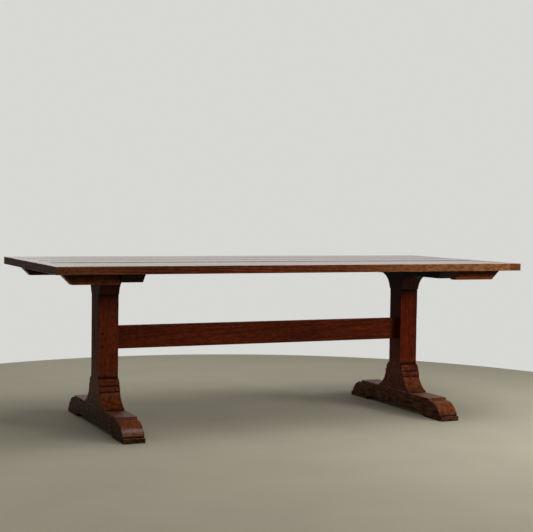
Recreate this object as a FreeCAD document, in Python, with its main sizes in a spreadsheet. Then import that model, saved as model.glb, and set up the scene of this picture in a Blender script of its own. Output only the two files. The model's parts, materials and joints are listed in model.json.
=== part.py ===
import FreeCAD, Part
import os
import re

import Sketcher
from FreeCAD import Rotation, Vector

# A trestle dining table in hardwood. Two moulded posts stand on sledge feet and carry bevelled
# bearers. One rail joins the posts. The top is four jointed boards held flat by breadboard ends.
#
# Frame: the origin is on the floor under the middle of the top. X runs along the table, Y across
# it towards the back, Z up. All sizes are millimetres.

# ---------------------------------------------------------------------------------------------
# Driving sizes: alias, value, meaning. A value that starts with = is worked out from the others.
# ---------------------------------------------------------------------------------------------
SIZES = [
    # the top
    ("table_height", 760, "floor to the upper face of the top"),
    ("top_length", 2300, "length over both breadboard ends"),
    ("top_width", 1000, "width across the boards"),
    ("top_thickness", 35, "thickness of every board of the top"),
    ("arris_radius", 3, "rounding of the top's upper arrises"),
    ("lower_ease", 1.5, "bevel of the top's lower arrises"),
    ("corner_ease", 4, "bevel of the top's four corners, seen from above"),
    ("front_board_width", 355, "face width of the front board"),
    ("second_board_width", 225, "face width of the second board"),
    ("third_board_width", 210, "face width of the third board; the back board takes the rest"),
    ("breadboard_width", 62, "width of each breadboard end, along the table"),
    ("edge_tongue_thickness", 9, "tongue along a board's back edge"),
    ("edge_tongue_depth", 10, "how far that tongue stands out"),
    ("end_tongue_thickness", 12, "tongue across a board's end"),
    ("end_tongue_length", 30, "how far that tongue stands out"),
    ("end_tongue_setback", 35, "how far the end tongues stop short of the top's long edges"),
    ("tongue_clearance", 0.2, "room on each side of a tongue in its groove"),
    ("groove_room", 1.5, "room beyond the tip of a tongue in its groove"),
    ("breadboard_peg_inset", 15, "from the breadboard joint to the line of pegs"),
    # pegs and screws
    ("peg_side", 10, "side of the square pegs"),
    ("hole_clearance", 0.05, "room round a peg or a screw in its hole"),
    ("peg_recess", 0.5, "how far a peg's ends lie below the faces"),
    ("screw_diameter", 5, "shank of the countersunk wood screws"),
    ("screw_head_diameter", 10, "head of the wood screws"),
    ("screw_bite", 22, "how far a screw runs into the top"),
    ("pilot_room", 2, "room beyond a screw's tip in its pilot hole"),
    # bearers and battens
    ("bearer_setback", 68, "from the top's long edges to a bearer's ends"),
    ("bearer_width", 100, "width along the table"),
    ("bearer_height", 40, "height"),
    ("batten_lap", 12, "how far a batten runs past the breadboard joint"),
    ("batten_width", 45, "width across the table"),
    ("batten_height", 48, "height"),
    ("bevel_lip", 4, "upright lip above the 45 degree bevels"),
    ("rail_chamfer", 1.5, "eased arrises of bearers, battens and stretcher"),
    ("bearer_screw_line", 250, "bearer screws, from the middle of the table"),
    ("batten_screw_start", 50, "inner batten screw, from the bearer"),
    ("batten_screw_end", 107, "outer batten screw, from the batten's outer end"),
    # posts
    ("trestle_spacing", 1586, "between the middles of the posts"),
    ("post_width", 96, "width along the table"),
    ("post_depth", 108, "depth across the table, between the mouldings"),
    ("post_chamfer", 1.5, "eased arrises of posts"),
    ("flare_lip", 4, "upright lip under the bearer"),
    ("flare_height", 69, "height of the cove under that lip"),
    ("flare_reach", 66, "how far the cove stands out beyond its step"),
    ("flare_radius", 87, "radius of the cove"),
    ("flare_step", 8, "step where the cove starts"),
    ("flare_step_rise", 5, "height of that step"),
    ("neck_reach", 5, "slope above the base's shoulder"),
    ("neck_rise", 4, "height of that slope"),
    ("shoulder_reach", 17, "round shoulder at the top of the base"),
    ("shoulder_rise", 16, "height of that shoulder"),
    ("shoulder_radius", 24, "radius of that shoulder"),
    ("shoulder_quirk", 3, "ledge under the shoulder"),
    ("upper_band_height", 16, "upright band under the shoulder"),
    ("band_ledge_reach", 9, "sloping ledge between the bands"),
    ("band_ledge_rise", 4, "height of that ledge"),
    ("lower_band_height", 23, "upright band above the sweep"),
    ("sweep_reach", 62, "how far the hollow sweep stands out"),
    ("sweep_height", 65, "height of the sweep"),
    ("sweep_radius", 114, "radius of the sweep"),
    ("base_ledge", 3, "ledge at the bottom of the sweep"),
    ("base_fillet", 7, "upright fillet that stands on the foot"),
    # tenons and their wedges
    ("tenon_thickness", 36, "post tenons, along the table"),
    ("head_tenon_width", 150, "upper tenon, across the table"),
    ("foot_tenon_width", 200, "lower tenon, across the table"),
    ("tenon_clearance", 0.2, "room round a tenon in its mortise"),
    ("wedge_thick_end", 7, "wedge at the tenon's end"),
    ("wedge_thin_end", 1.5, "wedge at its thin end"),
    ("head_wedge_length", 32, "wedges in the upper tenon"),
    ("head_wedge_offset", 42, "from the middle of the tenon"),
    ("foot_wedge_length", 55, "wedges in the lower tenon"),
    ("foot_wedge_offset", 55, "from the middle of the tenon"),
    # feet
    ("foot_length", 900, "length across the table"),
    ("foot_width", 98, "width along the table"),
    ("foot_height", 95, "height at the post"),
    ("foot_chamfer", 2, "eased arrises of the feet"),
    ("relief_height", 18, "height of the hollow between the pads"),
    ("pad_length", 165, "length of each pad on the floor"),
    ("toe_height", 22, "upright block at each tip"),
    ("toe_reach", 12, "ledge on top of that block"),
    ("toe_bevel", 2, "bevel along that block's upper arris"),
    ("quirk_depth", 5, "groove under the quarter round, inwards"),
    ("quirk_height", 5, "height of that groove"),
    ("quirk_fall", 1.2, "how far the groove's roof falls inwards"),
    ("round_reach", 70, "quarter round, along the foot"),
    ("round_radius", 120, "radius of the quarter round"),
    ("step_ledge", 16, "flat behind the quarter round"),
    ("step_cove_reach", 19, "hollow slope up to the top of the foot, along the foot"),
    ("step_cove_rise", 9, "height of that slope"),
    ("step_cove_radius", 22, "radius of its hollow"),
    ("step_lip", 3, "upright lip above that slope"),
    # stretcher
    ("stretcher_height", 106, "height of the rail"),
    ("stretcher_thickness", 28, "thickness of the rail"),
    ("stretcher_level", 356, "floor to the underside of the rail"),
    ("rail_tenon_thickness", 18, "its tenons, across the table"),
    ("rail_tenon_shoulder", 5, "shoulder above and below each tenon"),
    ("rail_tenon_recess", 0.5, "how far its ends lie inside the outer faces of the posts"),
    ("rail_peg_edge", 20, "stretcher pegs, from the outer face of the post"),
    ("rail_peg_low", 16, "lower peg, above the underside of the rail"),
    ("rail_peg_high", 76, "upper peg, above the underside of the rail"),
    # worked out
    ("top_underside", "=table_height - top_thickness", "floor to the underside of the top"),
    ("back_board_width",
     "=top_width - front_board_width - second_board_width - third_board_width",
     "face width of the back board"),
    ("field_length", "=top_length - 2 * breadboard_width", "boards between the breadboard joints"),
    ("peg_hole", "=peg_side + 2 * hole_clearance", "side of the hole for a peg"),
    ("screw_hole", "=screw_diameter + 2 * hole_clearance", "hole for a screw"),
    ("countersink", "=screw_head_diameter + 2 * hole_clearance", "mouth of that hole"),
    ("screw_head_height", "=(screw_head_diameter - screw_diameter) / 2", "45 degree head"),
    ("post_height", "=top_underside - bearer_height - foot_height", "shoulder to shoulder"),
    ("flare_depth", "=post_depth / 2 + flare_step + flare_reach", "half the post's head"),
    ("base_depth",
     "=post_depth / 2 + neck_reach + shoulder_reach + shoulder_quirk + band_ledge_reach"
     " + sweep_reach + base_ledge", "half the post's base"),
    ("foot_tenon_length", "=foot_height - relief_height", "lower tenon, flush with the hollow"),
    ("bearer_length", "=top_width - 2 * bearer_setback", "across the table, at the top"),
    ("batten_length", "=(field_length - trestle_spacing - bearer_width) / 2 + batten_lap",
     "beyond the bearer, at the top"),
    ("bearer_flat", "=bearer_length / 2 - bearer_height + bevel_lip", "half its lower face"),
    ("batten_line", "=bearer_flat - batten_width / 2", "middle of the table to a batten's middle"),
    ("round_height",
     "=foot_height - step_lip - step_cove_rise - quirk_height - toe_height", "quarter round"),
    ("rail_tenon_height", "=stretcher_height - 2 * rail_tenon_shoulder", "of its tenons"),
    ("rail_tenon_level", "=stretcher_level + rail_tenon_shoulder - foot_height", "above the foot"),
    ("rail_peg_line", "=post_width / 2 - rail_peg_edge", "pegs from the middle of the post"),
]

doc = FreeCAD.newDocument("TrestleTable")
sheet = doc.addObject("Spreadsheet::Sheet", "Sizes")
for row, (alias, value, meaning) in enumerate(SIZES, 1):
    sheet.set("A%d" % row, str(value))
    sheet.setAlias("A%d" % row, alias)
    sheet.set("B%d" % row, meaning)
doc.recompute()

ORIGIN = -1             # the sketch's horizontal axis, whose point 1 is the origin
UPRIGHT_AXIS = -2       # the sketch's vertical axis
START, END, MIDDLE = 1, 2, 3

SNUG = 1e-3             # how closely an edge has to lie where it is looked for

PARTS = []              # every finished sub-part, in the order it is made


# ---------------------------------------------------------------------------------------------
# Helpers: expressions, sketches and features
# ---------------------------------------------------------------------------------------------
def value_of(text):
    """The number that an expression on the sheet gives."""
    return float(sheet.evalExpression(text))


def bind(target, path, text):
    """Ties a property to an expression whose words are aliases of the sheet."""
    target.setExpression(path, re.sub(r"([a-z][a-z_]+)", r"Sizes.\1", text))


def new_body(label, place=("0", "0", "0"), turn=0):
    """A body with its own label, placed by expressions and turned about Z."""
    body = doc.addObject("PartDesign::Body", label)
    body.Label = label
    body.Placement.Rotation = Rotation(Vector(0, 0, 1), turn)
    for axis, text in zip("xyz", place):
        bind(body, "Placement.Base." + axis, text)
    PARTS.append(body)
    return body


def new_sketch(body, plane, offset=None):
    """A sketch on one of the body's own origin planes, or parallel to it."""
    sketch = body.newObject("Sketcher::SketchObject", body.Name + "_sketch")
    support = [item for item in body.Origin.OriginFeatures if item.Role == plane][0]
    sketch.AttachmentSupport = (support, "")
    sketch.MapMode = "FlatFace"
    if offset:
        bind(sketch, "AttachmentOffset.Base.z", offset)
    return sketch


def drive(sketch, kind, *items):
    """Adds a dimension; the last item is the expression that drives it."""
    text = items[-1]
    index = sketch.addConstraint(Sketcher.Constraint(kind, *items[:-1], value_of(text)))
    bind(sketch, "Constraints[%d]" % index, text)


def fix_point(sketch, geometry, point, across, up):
    """Places a point of a sketch by two expressions measured from the origin."""
    for kind, axis, text in (("DistanceX", UPRIGHT_AXIS, across), ("DistanceY", ORIGIN, up)):
        value = value_of(text)
        if abs(value) < SNUG:
            sketch.addConstraint(Sketcher.Constraint("PointOnObject", geometry, point, axis))
        elif value > 0:
            drive(sketch, kind, ORIGIN, START, geometry, point, text)
        else:
            drive(sketch, kind, geometry, point, ORIGIN, START, "-(%s)" % text)


def bulge_point(start, end, radius, side):
    """The middle of an arc between two points; side is 1 for convex and -1 for hollow."""
    middle = (start + end) * 0.5
    along = end - start
    rise = radius - (radius ** 2 - (along.Length / 2) ** 2) ** 0.5
    outward = Vector(along.y, -along.x, 0).normalize()
    return middle + outward * (rise * side)


def outline(sketch, corners):
    """A closed outline, drawn anticlockwise.

    A corner is (across, up), or (across, up, side, radius) where the run to the next corner is
    an arc, convex for side 1 and hollow for side -1.
    """
    places = [Vector(value_of(corner[0]), value_of(corner[1]), 0) for corner in corners]
    runs = []
    for index, corner in enumerate(corners):
        start = places[index]
        end = places[(index + 1) % len(corners)]
        if len(corner) == 2:
            number = sketch.addGeometry(Part.LineSegment(start, end), False)
            runs.append((number, START, END))
            continue
        middle = bulge_point(start, end, value_of(corner[3]), corner[2])
        number = sketch.addGeometry(Part.Arc(start, middle, end), False)
        forward = sketch.getPoint(number, START).distanceToPoint(start) < SNUG
        runs.append((number, START, END) if forward else (number, END, START))
        drive(sketch, "Radius", number, corner[3])
    for index, (number, first, last) in enumerate(runs):
        after, after_first, _ = runs[(index + 1) % len(runs)]
        sketch.addConstraint(Sketcher.Constraint("Coincident", number, last, after, after_first))
        fix_point(sketch, number, first, corners[index][0], corners[index][1])


def rectangle(sketch, left, bottom, right, top):
    """A rectangle given by four expressions."""
    outline(sketch, [(left, bottom), (right, bottom), (right, top), (left, top)])


def circles(sketch, places, diameter):
    """One circle at each (across, up)."""
    size = value_of(diameter)
    for across, up in places:
        middle = Vector(value_of(across), value_of(up), 0)
        circle = Part.Circle(middle, Vector(0, 0, 1), size / 2)
        number = sketch.addGeometry(circle, False)
        drive(sketch, "Diameter", number, diameter)
        fix_point(sketch, number, MIDDLE, across, up)


def squares(sketch, places, size):
    """One square about each (across, up)."""
    for across, up in places:
        rectangle(sketch, "%s - %s / 2" % (across, size), "%s - %s / 2" % (up, size),
                  "%s + %s / 2" % (across, size), "%s + %s / 2" % (up, size))


def pad(body, sketch, length, symmetric=False, down=False):
    """Extrudes a sketch, to one side or equally to both."""
    feature = body.newObject("PartDesign::Pad", body.Name + "_pad")
    feature.Profile = sketch
    feature.SideType = "Symmetric" if symmetric else "One side"
    feature.Reversed = down
    bind(feature, "Length", length)
    sketch.Visibility = False
    doc.recompute()
    return feature


def checked_cut(body, feature):
    """Recomputes a cutting feature and makes sure that it took wood away."""
    before = feature.BaseFeature.Shape.Volume
    doc.recompute()
    if feature.Shape.Volume >= before:
        raise RuntimeError(feature.Name + " cuts nothing")
    return feature


def pocket_through(body, sketch):
    """Cuts a sketch right through, to both sides."""
    feature = body.newObject("PartDesign::Pocket", body.Name + "_pocket")
    feature.Profile = sketch
    feature.SideType = "Symmetric"
    feature.Type = "ThroughAll"
    return checked_cut(body, feature)


def pocket_up(body, sketch, depth):
    """Cuts a sketch to a depth, along the normal of its plane."""
    feature = body.newObject("PartDesign::Pocket", body.Name + "_pocket")
    feature.Profile = sketch
    feature.Type = "Length"
    feature.Reversed = True
    bind(feature, "Length", depth)
    return checked_cut(body, feature)


def countersunk_holes(body, places):
    """Screw holes drilled from below, each countersunk for the screw's head."""
    sketch = new_sketch(body, "XY_Plane")
    circles(sketch, places, "screw_hole")
    doc.recompute()
    feature = body.newObject("PartDesign::Hole", body.Name + "_holes")
    feature.Profile = sketch
    feature.Reversed = True
    feature.DepthType = "ThroughAll"
    feature.HoleCutType = "Countersink"
    feature.HoleCutCustomValues = True
    feature.HoleCutCountersinkAngle = 90
    bind(feature, "Diameter", "screw_hole")
    bind(feature, "HoleCutDiameter", "countersink")
    return checked_cut(body, feature)


def mirror_across(body, feature):
    """Repeats a half outline on the other side of the table's middle."""
    mirrored = body.newObject("PartDesign::Mirrored", body.Name + "_mirrored")
    mirrored.Originals = [feature]
    support = [item for item in body.Origin.OriginFeatures if item.Role == "XZ_Plane"][0]
    mirrored.MirrorPlane = (support, [""])
    body.Tip = mirrored
    doc.recompute()
    return mirrored


def edges_where(feature, test):
    """Names of the edges whose ends and middle all pass a test."""
    names = []
    for number, edge in enumerate(feature.Shape.Edges, 1):
        first, last = edge.ParameterRange
        points = [edge.valueAt(first), edge.valueAt((first + last) / 2), edge.valueAt(last)]
        if all(test(point) for point in points):
            names.append("Edge%d" % number)
    return names


def dress(body, kind, feature, test, size):
    """A Chamfer or a Fillet along the edges that pass a test."""
    names = edges_where(feature, test)
    if not names:
        raise RuntimeError(body.Label + ": no edge to dress")
    dressing = body.newObject("PartDesign::" + kind, body.Name + "_" + kind.lower())
    dressing.Base = (feature, names)
    bind(dressing, "Radius" if kind == "Fillet" else "Size", size)
    doc.recompute()
    return dressing


def near(value, target):
    """Whether two lengths are the same, within SNUG."""
    return abs(value - target) < SNUG


# ---------------------------------------------------------------------------------------------
# The top: boards
# ---------------------------------------------------------------------------------------------
# name, face width, distance of the front joint from the top's front edge
BOARDS = [
    ("top_board_front", "front_board_width", "0"),
    ("top_board_second", "second_board_width", "front_board_width"),
    ("top_board_third", "third_board_width", "front_board_width + second_board_width"),
    ("top_board_back", "back_board_width",
     "front_board_width + second_board_width + third_board_width"),
]

SIDES = (("left", -1), ("right", 1))
FACES = (("front", -1), ("back", 1))

BATTEN_SCREWS = ["batten_screw_start", "(batten_length - batten_screw_end)"]
BEARER_SCREWS = ["-(bearer_screw_line)", "bearer_screw_line"]


def screw_places():
    """Every screw's place on the top: along, across, measured from the middle of the table."""
    places = []
    for _, side in SIDES:
        for across in BEARER_SCREWS:
            places.append(("%d * trestle_spacing / 2" % side, across))
        for _, face in FACES:
            for along in BATTEN_SCREWS:
                reach = "trestle_spacing / 2 + bearer_width / 2 + " + along
                places.append(("%d * (%s)" % (side, reach), "%d * batten_line" % face))
    return places


def tongue_band(thickness, clearance="0"):
    """Lower and upper level of a tongue or groove in the middle of the top's thickness."""
    half = "(%s / 2 + %s)" % (thickness, clearance)
    return "top_thickness / 2 - " + half, "top_thickness / 2 + " + half


def make_board(label, width, start):
    body = new_body(label, ("0", "%s - top_width / 2" % start, "top_underside"))
    is_first = label == BOARDS[0][0]
    is_last = label == BOARDS[-1][0]

    # section across the board: tongue on the back edge, groove in the front edge
    low, high = tongue_band("edge_tongue_thickness")
    groove_low, groove_high = tongue_band("edge_tongue_thickness", "tongue_clearance")
    tip = width + " + edge_tongue_depth"
    hollow = "edge_tongue_depth + groove_room"
    tongue = [(width, low), (tip, low), (tip, high), (width, high)]
    groove = [("0", groove_high), (hollow, groove_high), (hollow, groove_low), ("0", groove_low)]
    corners = [("0", "0"), (width, "0")]
    corners += [] if is_last else tongue
    corners += [(width, "top_thickness"), ("0", "top_thickness")]
    corners += [] if is_first else groove
    section = new_sketch(body, "YZ_Plane")
    outline(section, corners)
    feature = pad(body, section, "field_length + 2 * end_tongue_length", symmetric=True)

    # end tongues: the wood above and below them is cut away
    shoulder = "field_length / 2"
    end = "field_length / 2 + end_tongue_length"
    low, high = tongue_band("end_tongue_thickness")
    cheeks = new_sketch(body, "XZ_Plane")
    for bottom, top in (("0", low), (high, "top_thickness")):
        rectangle(cheeks, shoulder, bottom, end, top)
        rectangle(cheeks, "-(%s)" % end, bottom, "-(%s)" % shoulder, top)
    feature = pocket_through(body, cheeks)

    # the outer boards' tongues stop short of the long edges
    if is_first or is_last:
        front = "0" if is_first else "%s - end_tongue_setback" % width
        back = "end_tongue_setback" if is_first else width
        setback = new_sketch(body, "XY_Plane")
        rectangle(setback, shoulder, front, end, back)
        rectangle(setback, "-(%s)" % end, front, "-(%s)" % shoulder, back)
        feature = pocket_through(body, setback)

    # peg holes through the end tongues
    reach = "field_length / 2 + breadboard_peg_inset"
    peg_holes = new_sketch(body, "XY_Plane")
    squares(peg_holes, [(reach, width + " / 2"), ("-(%s)" % reach, width + " / 2")], "peg_hole")
    feature = pocket_through(body, peg_holes)

    # pilot holes for the screws that come up through the bearers and battens
    front_edge = value_of("%s - top_width / 2" % start)
    back_edge = front_edge + value_of(width)
    places = [
        (along, "%s + top_width / 2 - (%s)" % (across, start))
        for along, across in screw_places()
        if front_edge < value_of(across) < back_edge
    ]
    if places:
        pilots = new_sketch(body, "XY_Plane")
        circles(pilots, places, "screw_hole")
        feature = pocket_up(body, pilots, "screw_bite + pilot_room")

    # the long outer arrises are eased
    if is_first or is_last:
        edge = 0 if is_first else value_of(width)
        ease_arrises(body, feature, lambda point: near(point.y, edge))


def ease_arrises(body, feature, on_outline):
    """Rounds the upper arrises of the top and bevels the lower ones, along its outline."""
    upper = value_of("top_thickness")
    feature = dress(body, "Fillet", feature,
                    lambda point: on_outline(point) and near(point.z, upper), "arris_radius")
    dress(body, "Chamfer", feature,
          lambda point: on_outline(point) and near(point.z, 0), "lower_ease")


# ---------------------------------------------------------------------------------------------
# The top: breadboard ends and their pegs
# ---------------------------------------------------------------------------------------------
def board_middles():
    """The middle of each board, across the table."""
    return ["%s + %s / 2 - top_width / 2" % (start, width) for _, width, start in BOARDS]


def make_breadboard(name, side):
    joint = "%d * field_length / 2" % side
    body = new_body("breadboard_end_" + name, (joint, "0", "top_underside"))

    def span(start, end):
        """Two distances from the joint, put in order from left to right."""
        low, high = "%d * (%s)" % (side, start), "%d * (%s)" % (side, end)
        return (low, high) if side > 0 else (high, low)

    left, right = span("0", "breadboard_width")
    plan = new_sketch(body, "XY_Plane")
    rectangle(plan, left, "-(top_width / 2)", right, "top_width / 2")
    feature = pad(body, plan, "top_thickness")

    # stopped groove for the boards' tongues
    low, high = tongue_band("end_tongue_thickness", "tongue_clearance")
    left, right = span("0", "end_tongue_length + groove_room")
    stop = "top_width / 2 - end_tongue_setback + groove_room"
    groove = new_sketch(body, "XY_Plane", offset=low)
    rectangle(groove, left, "-(%s)" % stop, right, stop)
    feature = pocket_up(body, groove, "end_tongue_thickness + 2 * tongue_clearance")

    # peg holes, one for each board
    pegs = new_sketch(body, "XY_Plane")
    inset = "%d * breadboard_peg_inset" % side
    squares(pegs, [(inset, across) for across in board_middles()], "peg_hole")
    feature = pocket_through(body, pegs)

    # bevelled corners, then eased arrises on the three outer sides
    outer = side * value_of("breadboard_width")
    half = value_of("top_width / 2")
    ease = value_of("corner_ease")

    def on_corner(point):
        return near(point.x, outer) and near(abs(point.y), half)

    def on_outline(point):
        on_bevel = abs(outer - point.x) + half - abs(point.y) < ease + SNUG
        return near(point.x, outer) or near(abs(point.y), half) or on_bevel

    feature = dress(body, "Chamfer", feature, on_corner, "corner_ease")
    ease_arrises(body, feature, on_outline)


def make_breadboard_pegs(name, side):
    along = "%d * (field_length / 2 + breadboard_peg_inset)" % side
    body = new_body("breadboard_pegs_" + name, (along, "0", "top_underside"))
    sketch = new_sketch(body, "XY_Plane", offset="peg_recess")
    squares(sketch, [("0", across) for across in board_middles()], "peg_side")
    pad(body, sketch, "top_thickness - 2 * peg_recess")


# ---------------------------------------------------------------------------------------------
# Bearers and battens
# ---------------------------------------------------------------------------------------------
def make_bearer(name, side):
    place = ("%d * trestle_spacing / 2" % side, "0", "top_underside - bearer_height")
    body = new_body("bearer_" + name, place)
    profile = new_sketch(body, "YZ_Plane")
    outline(profile, [
        ("0", "0"),
        ("bearer_flat", "0"),
        ("bearer_length / 2", "bearer_height - bevel_lip"),
        ("bearer_length / 2", "bearer_height"),
        ("0", "bearer_height"),
    ])
    feature = mirror_across(body, pad(body, profile, "bearer_width", symmetric=True))

    # mortise for the post's upper tenon
    mortise = new_sketch(body, "XY_Plane")
    half_width = "tenon_thickness / 2 + tenon_clearance"
    half_length = "head_tenon_width / 2 + tenon_clearance"
    rectangle(mortise, "-(%s)" % half_width, "-(%s)" % half_length, half_width, half_length)
    feature = pocket_through(body, mortise)

    # eased lower arrises and bevel arrises, before the holes are drilled
    half = value_of("bearer_width / 2")
    height = value_of("bearer_height")

    def on_side_arris(point):
        return near(abs(point.x), half) and point.z < height - SNUG

    dress(body, "Chamfer", feature, on_side_arris, "rail_chamfer")
    countersunk_holes(body, [("0", across) for across in BEARER_SCREWS])


def make_batten(name, side, face_name, face):
    place = (
        "%d * (trestle_spacing / 2 + bearer_width / 2)" % side,
        "%d * batten_line" % face,
        "top_underside - batten_height",
    )
    body = new_body("batten_%s_%s" % (face_name, name), place, 0 if side > 0 else 180)
    profile = new_sketch(body, "XZ_Plane")
    outline(profile, [
        ("0", "0"),
        ("batten_length - batten_height + bevel_lip", "0"),
        ("batten_length", "batten_height - bevel_lip"),
        ("batten_length", "batten_height"),
        ("0", "batten_height"),
    ])
    feature = pad(body, profile, "batten_width", symmetric=True)
    half = value_of("batten_width / 2")
    height = value_of("batten_height")

    def on_side_arris(point):
        return near(abs(point.y), half) and point.z < height - SNUG

    dress(body, "Chamfer", feature, on_side_arris, "rail_chamfer")
    countersunk_holes(body, [(along, "0") for along in BATTEN_SCREWS])


def make_screws(label, place, turn, places, rail_height):
    """Countersunk wood screws, one at each place, flush with the rail that they hold."""
    body = new_body(label, place, turn)
    shanks = new_sketch(body, "XY_Plane")
    circles(shanks, places, "screw_diameter")
    pad(body, shanks, rail_height + " + screw_bite")
    heads = new_sketch(body, "XY_Plane")
    circles(heads, places, "screw_head_diameter")
    cones = pad(body, heads, "screw_head_height")
    cones.TaperAngle = -45
    doc.recompute()


def make_bearer_screws(name, side):
    place = ("%d * trestle_spacing / 2" % side, "0", "top_underside - bearer_height")
    places = [("0", across) for across in BEARER_SCREWS]
    make_screws("bearer_screws_" + name, place, 0, places, "bearer_height")


def make_batten_screws(name, side):
    place = (
        "%d * (trestle_spacing / 2 + bearer_width / 2)" % side,
        "0",
        "top_underside - batten_height",
    )
    places = [
        (along, "%d * batten_line" % face) for _, face in FACES for along in BATTEN_SCREWS
    ]
    turn = 0 if side > 0 else 180
    make_screws("batten_screws_" + name, place, turn, places, "batten_height")


# ---------------------------------------------------------------------------------------------
# Posts
# ---------------------------------------------------------------------------------------------
def chain(start, steps):
    """Running totals: the start, then the start plus each step in turn."""
    totals = [start]
    for step in steps:
        totals.append("%s + %s" % (totals[-1], step))
    return totals


def post_outline():
    """Half the post's side view: the base mouldings, the shaft and the coved head."""
    face = "post_depth / 2"
    neck, shoulder, upper_band, lower_band, sweep, base = chain(face, [
        "neck_reach", "shoulder_reach", "shoulder_quirk", "band_ledge_reach", "sweep_reach",
        "base_ledge"])[1:]
    fillet_top, sweep_top, lower_top, ledge_top, upper_top, shoulder_top, neck_top = chain(
        "base_fillet", [
            "sweep_height", "lower_band_height", "band_ledge_rise", "upper_band_height",
            "shoulder_rise", "neck_rise"])
    lip = "post_height - flare_lip"
    cove = lip + " - flare_height"
    return [
        ("0", "0"),
        (base, "0"),
        (base, fillet_top),
        (sweep, fillet_top, -1, "sweep_radius"),
        (lower_band, sweep_top),
        (lower_band, lower_top),
        (upper_band, ledge_top),
        (upper_band, upper_top),
        (shoulder, upper_top, 1, "shoulder_radius"),
        (neck, shoulder_top),
        (face, neck_top),
        (face, cove + " - flare_step_rise"),
        (face + " + flare_step", cove, -1, "flare_radius"),
        ("flare_depth", lip),
        ("flare_depth", "post_height"),
        ("0", "post_height"),
    ]


def wedge_corners(offset, base, length):
    """A wedge's side view: its thick end at one level, its thin end a length away."""
    def corner(side, thickness, level):
        return ("%s + %d * %s / 2" % (offset, side, thickness), level)
    tip = "%s + %s" % (base, length)
    corners = [
        corner(-1, "wedge_thick_end", base), corner(1, "wedge_thick_end", base),
        corner(1, "wedge_thin_end", tip), corner(-1, "wedge_thin_end", tip)]
    return corners if value_of(length) > 0 else corners[::-1]


WEDGES = {
    "head_wedges": ("head_wedge_offset", "post_height + bearer_height", "-(head_wedge_length)"),
    "foot_wedges": ("foot_wedge_offset", "-(foot_tenon_length)", "foot_wedge_length"),
}


def wedge_pair(sketch, kind):
    """Both wedges of a tenon, seen from the end of the table."""
    offset, base, length = WEDGES[kind]
    for side in (-1, 1):
        outline(sketch, wedge_corners("%d * %s" % (side, offset), base, length))


def make_post(name, side):
    place = ("%d * trestle_spacing / 2" % side, "0", "foot_height")
    body = new_body("post_" + name, place)
    profile = new_sketch(body, "YZ_Plane")
    outline(profile, post_outline())
    feature = mirror_across(body, pad(body, profile, "post_width", symmetric=True))

    # the long arrises are eased all the way round the mouldings
    half = value_of("post_width / 2")
    height = value_of("post_height")

    def on_side_arris(point):
        return near(abs(point.x), half) and point.z < height - SNUG

    feature = dress(body, "Chamfer", feature, on_side_arris, "post_chamfer")

    # through tenons, up into the bearer and down into the foot
    for width, offset, length, down in (
            ("head_tenon_width", "post_height", "bearer_height", False),
            ("foot_tenon_width", None, "foot_tenon_length", True)):
        tenon = new_sketch(body, "XY_Plane", offset)
        rectangle(tenon, "-(tenon_thickness / 2)", "-(%s / 2)" % width,
                  "tenon_thickness / 2", width + " / 2")
        feature = pad(body, tenon, length, down=down)

    # saw kerfs that the wedges spread
    for kind in WEDGES:
        kerfs = new_sketch(body, "YZ_Plane")
        wedge_pair(kerfs, kind)
        feature = pocket_through(body, kerfs)

    # mortise for the stretcher
    mortise = new_sketch(body, "YZ_Plane")
    half_width = "rail_tenon_thickness / 2 + tenon_clearance"
    rectangle(mortise, "-(%s)" % half_width, "rail_tenon_level - tenon_clearance",
              half_width, "rail_tenon_level + rail_tenon_height + tenon_clearance")
    feature = pocket_through(body, mortise)

    # holes for the stretcher pegs, near the outer face
    holes = new_sketch(body, "XZ_Plane")
    along = "%d * rail_peg_line" % side
    squares(holes, [
        (along, "stretcher_level + %s - foot_height" % level)
        for level in ("rail_peg_low", "rail_peg_high")], "peg_hole")
    pocket_through(body, holes)


def make_wedges(kind, name, side):
    place = ("%d * trestle_spacing / 2" % side, "0", "foot_height")
    body = new_body("%s_%s" % (kind, name), place)
    sketch = new_sketch(body, "YZ_Plane")
    wedge_pair(sketch, kind)
    pad(body, sketch, "tenon_thickness", symmetric=True)


# ---------------------------------------------------------------------------------------------
# Feet
# ---------------------------------------------------------------------------------------------
def foot_outline():
    """Half the foot's side view: relief, pad, toe, quirk, quarter round, step and flat top."""
    end = "foot_length / 2"
    toe = end + " - toe_reach"
    round_back = toe + " - round_reach"
    cove_front = round_back + " - step_ledge"
    cove_back = cove_front + " - step_cove_reach"
    quirk_top = "toe_height + quirk_height"
    ledge = quirk_top + " + round_height"
    pad_back = end + " - pad_length"
    return [
        ("0", "relief_height"),
        (pad_back + " - relief_height", "relief_height", -1, "relief_height"),
        (pad_back, "0"),
        (end, "0"),
        (end, "toe_height - toe_bevel"),
        (end + " - toe_bevel", "toe_height"),
        (toe + " - quirk_depth", "toe_height"),
        (toe + " - quirk_depth", quirk_top + " - quirk_fall"),
        (toe, quirk_top, 1, "round_radius"),
        (round_back, ledge),
        (cove_front, ledge, -1, "step_cove_radius"),
        (cove_back, ledge + " + step_cove_rise"),
        (cove_back, "foot_height"),
        ("0", "foot_height"),
    ]


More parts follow.
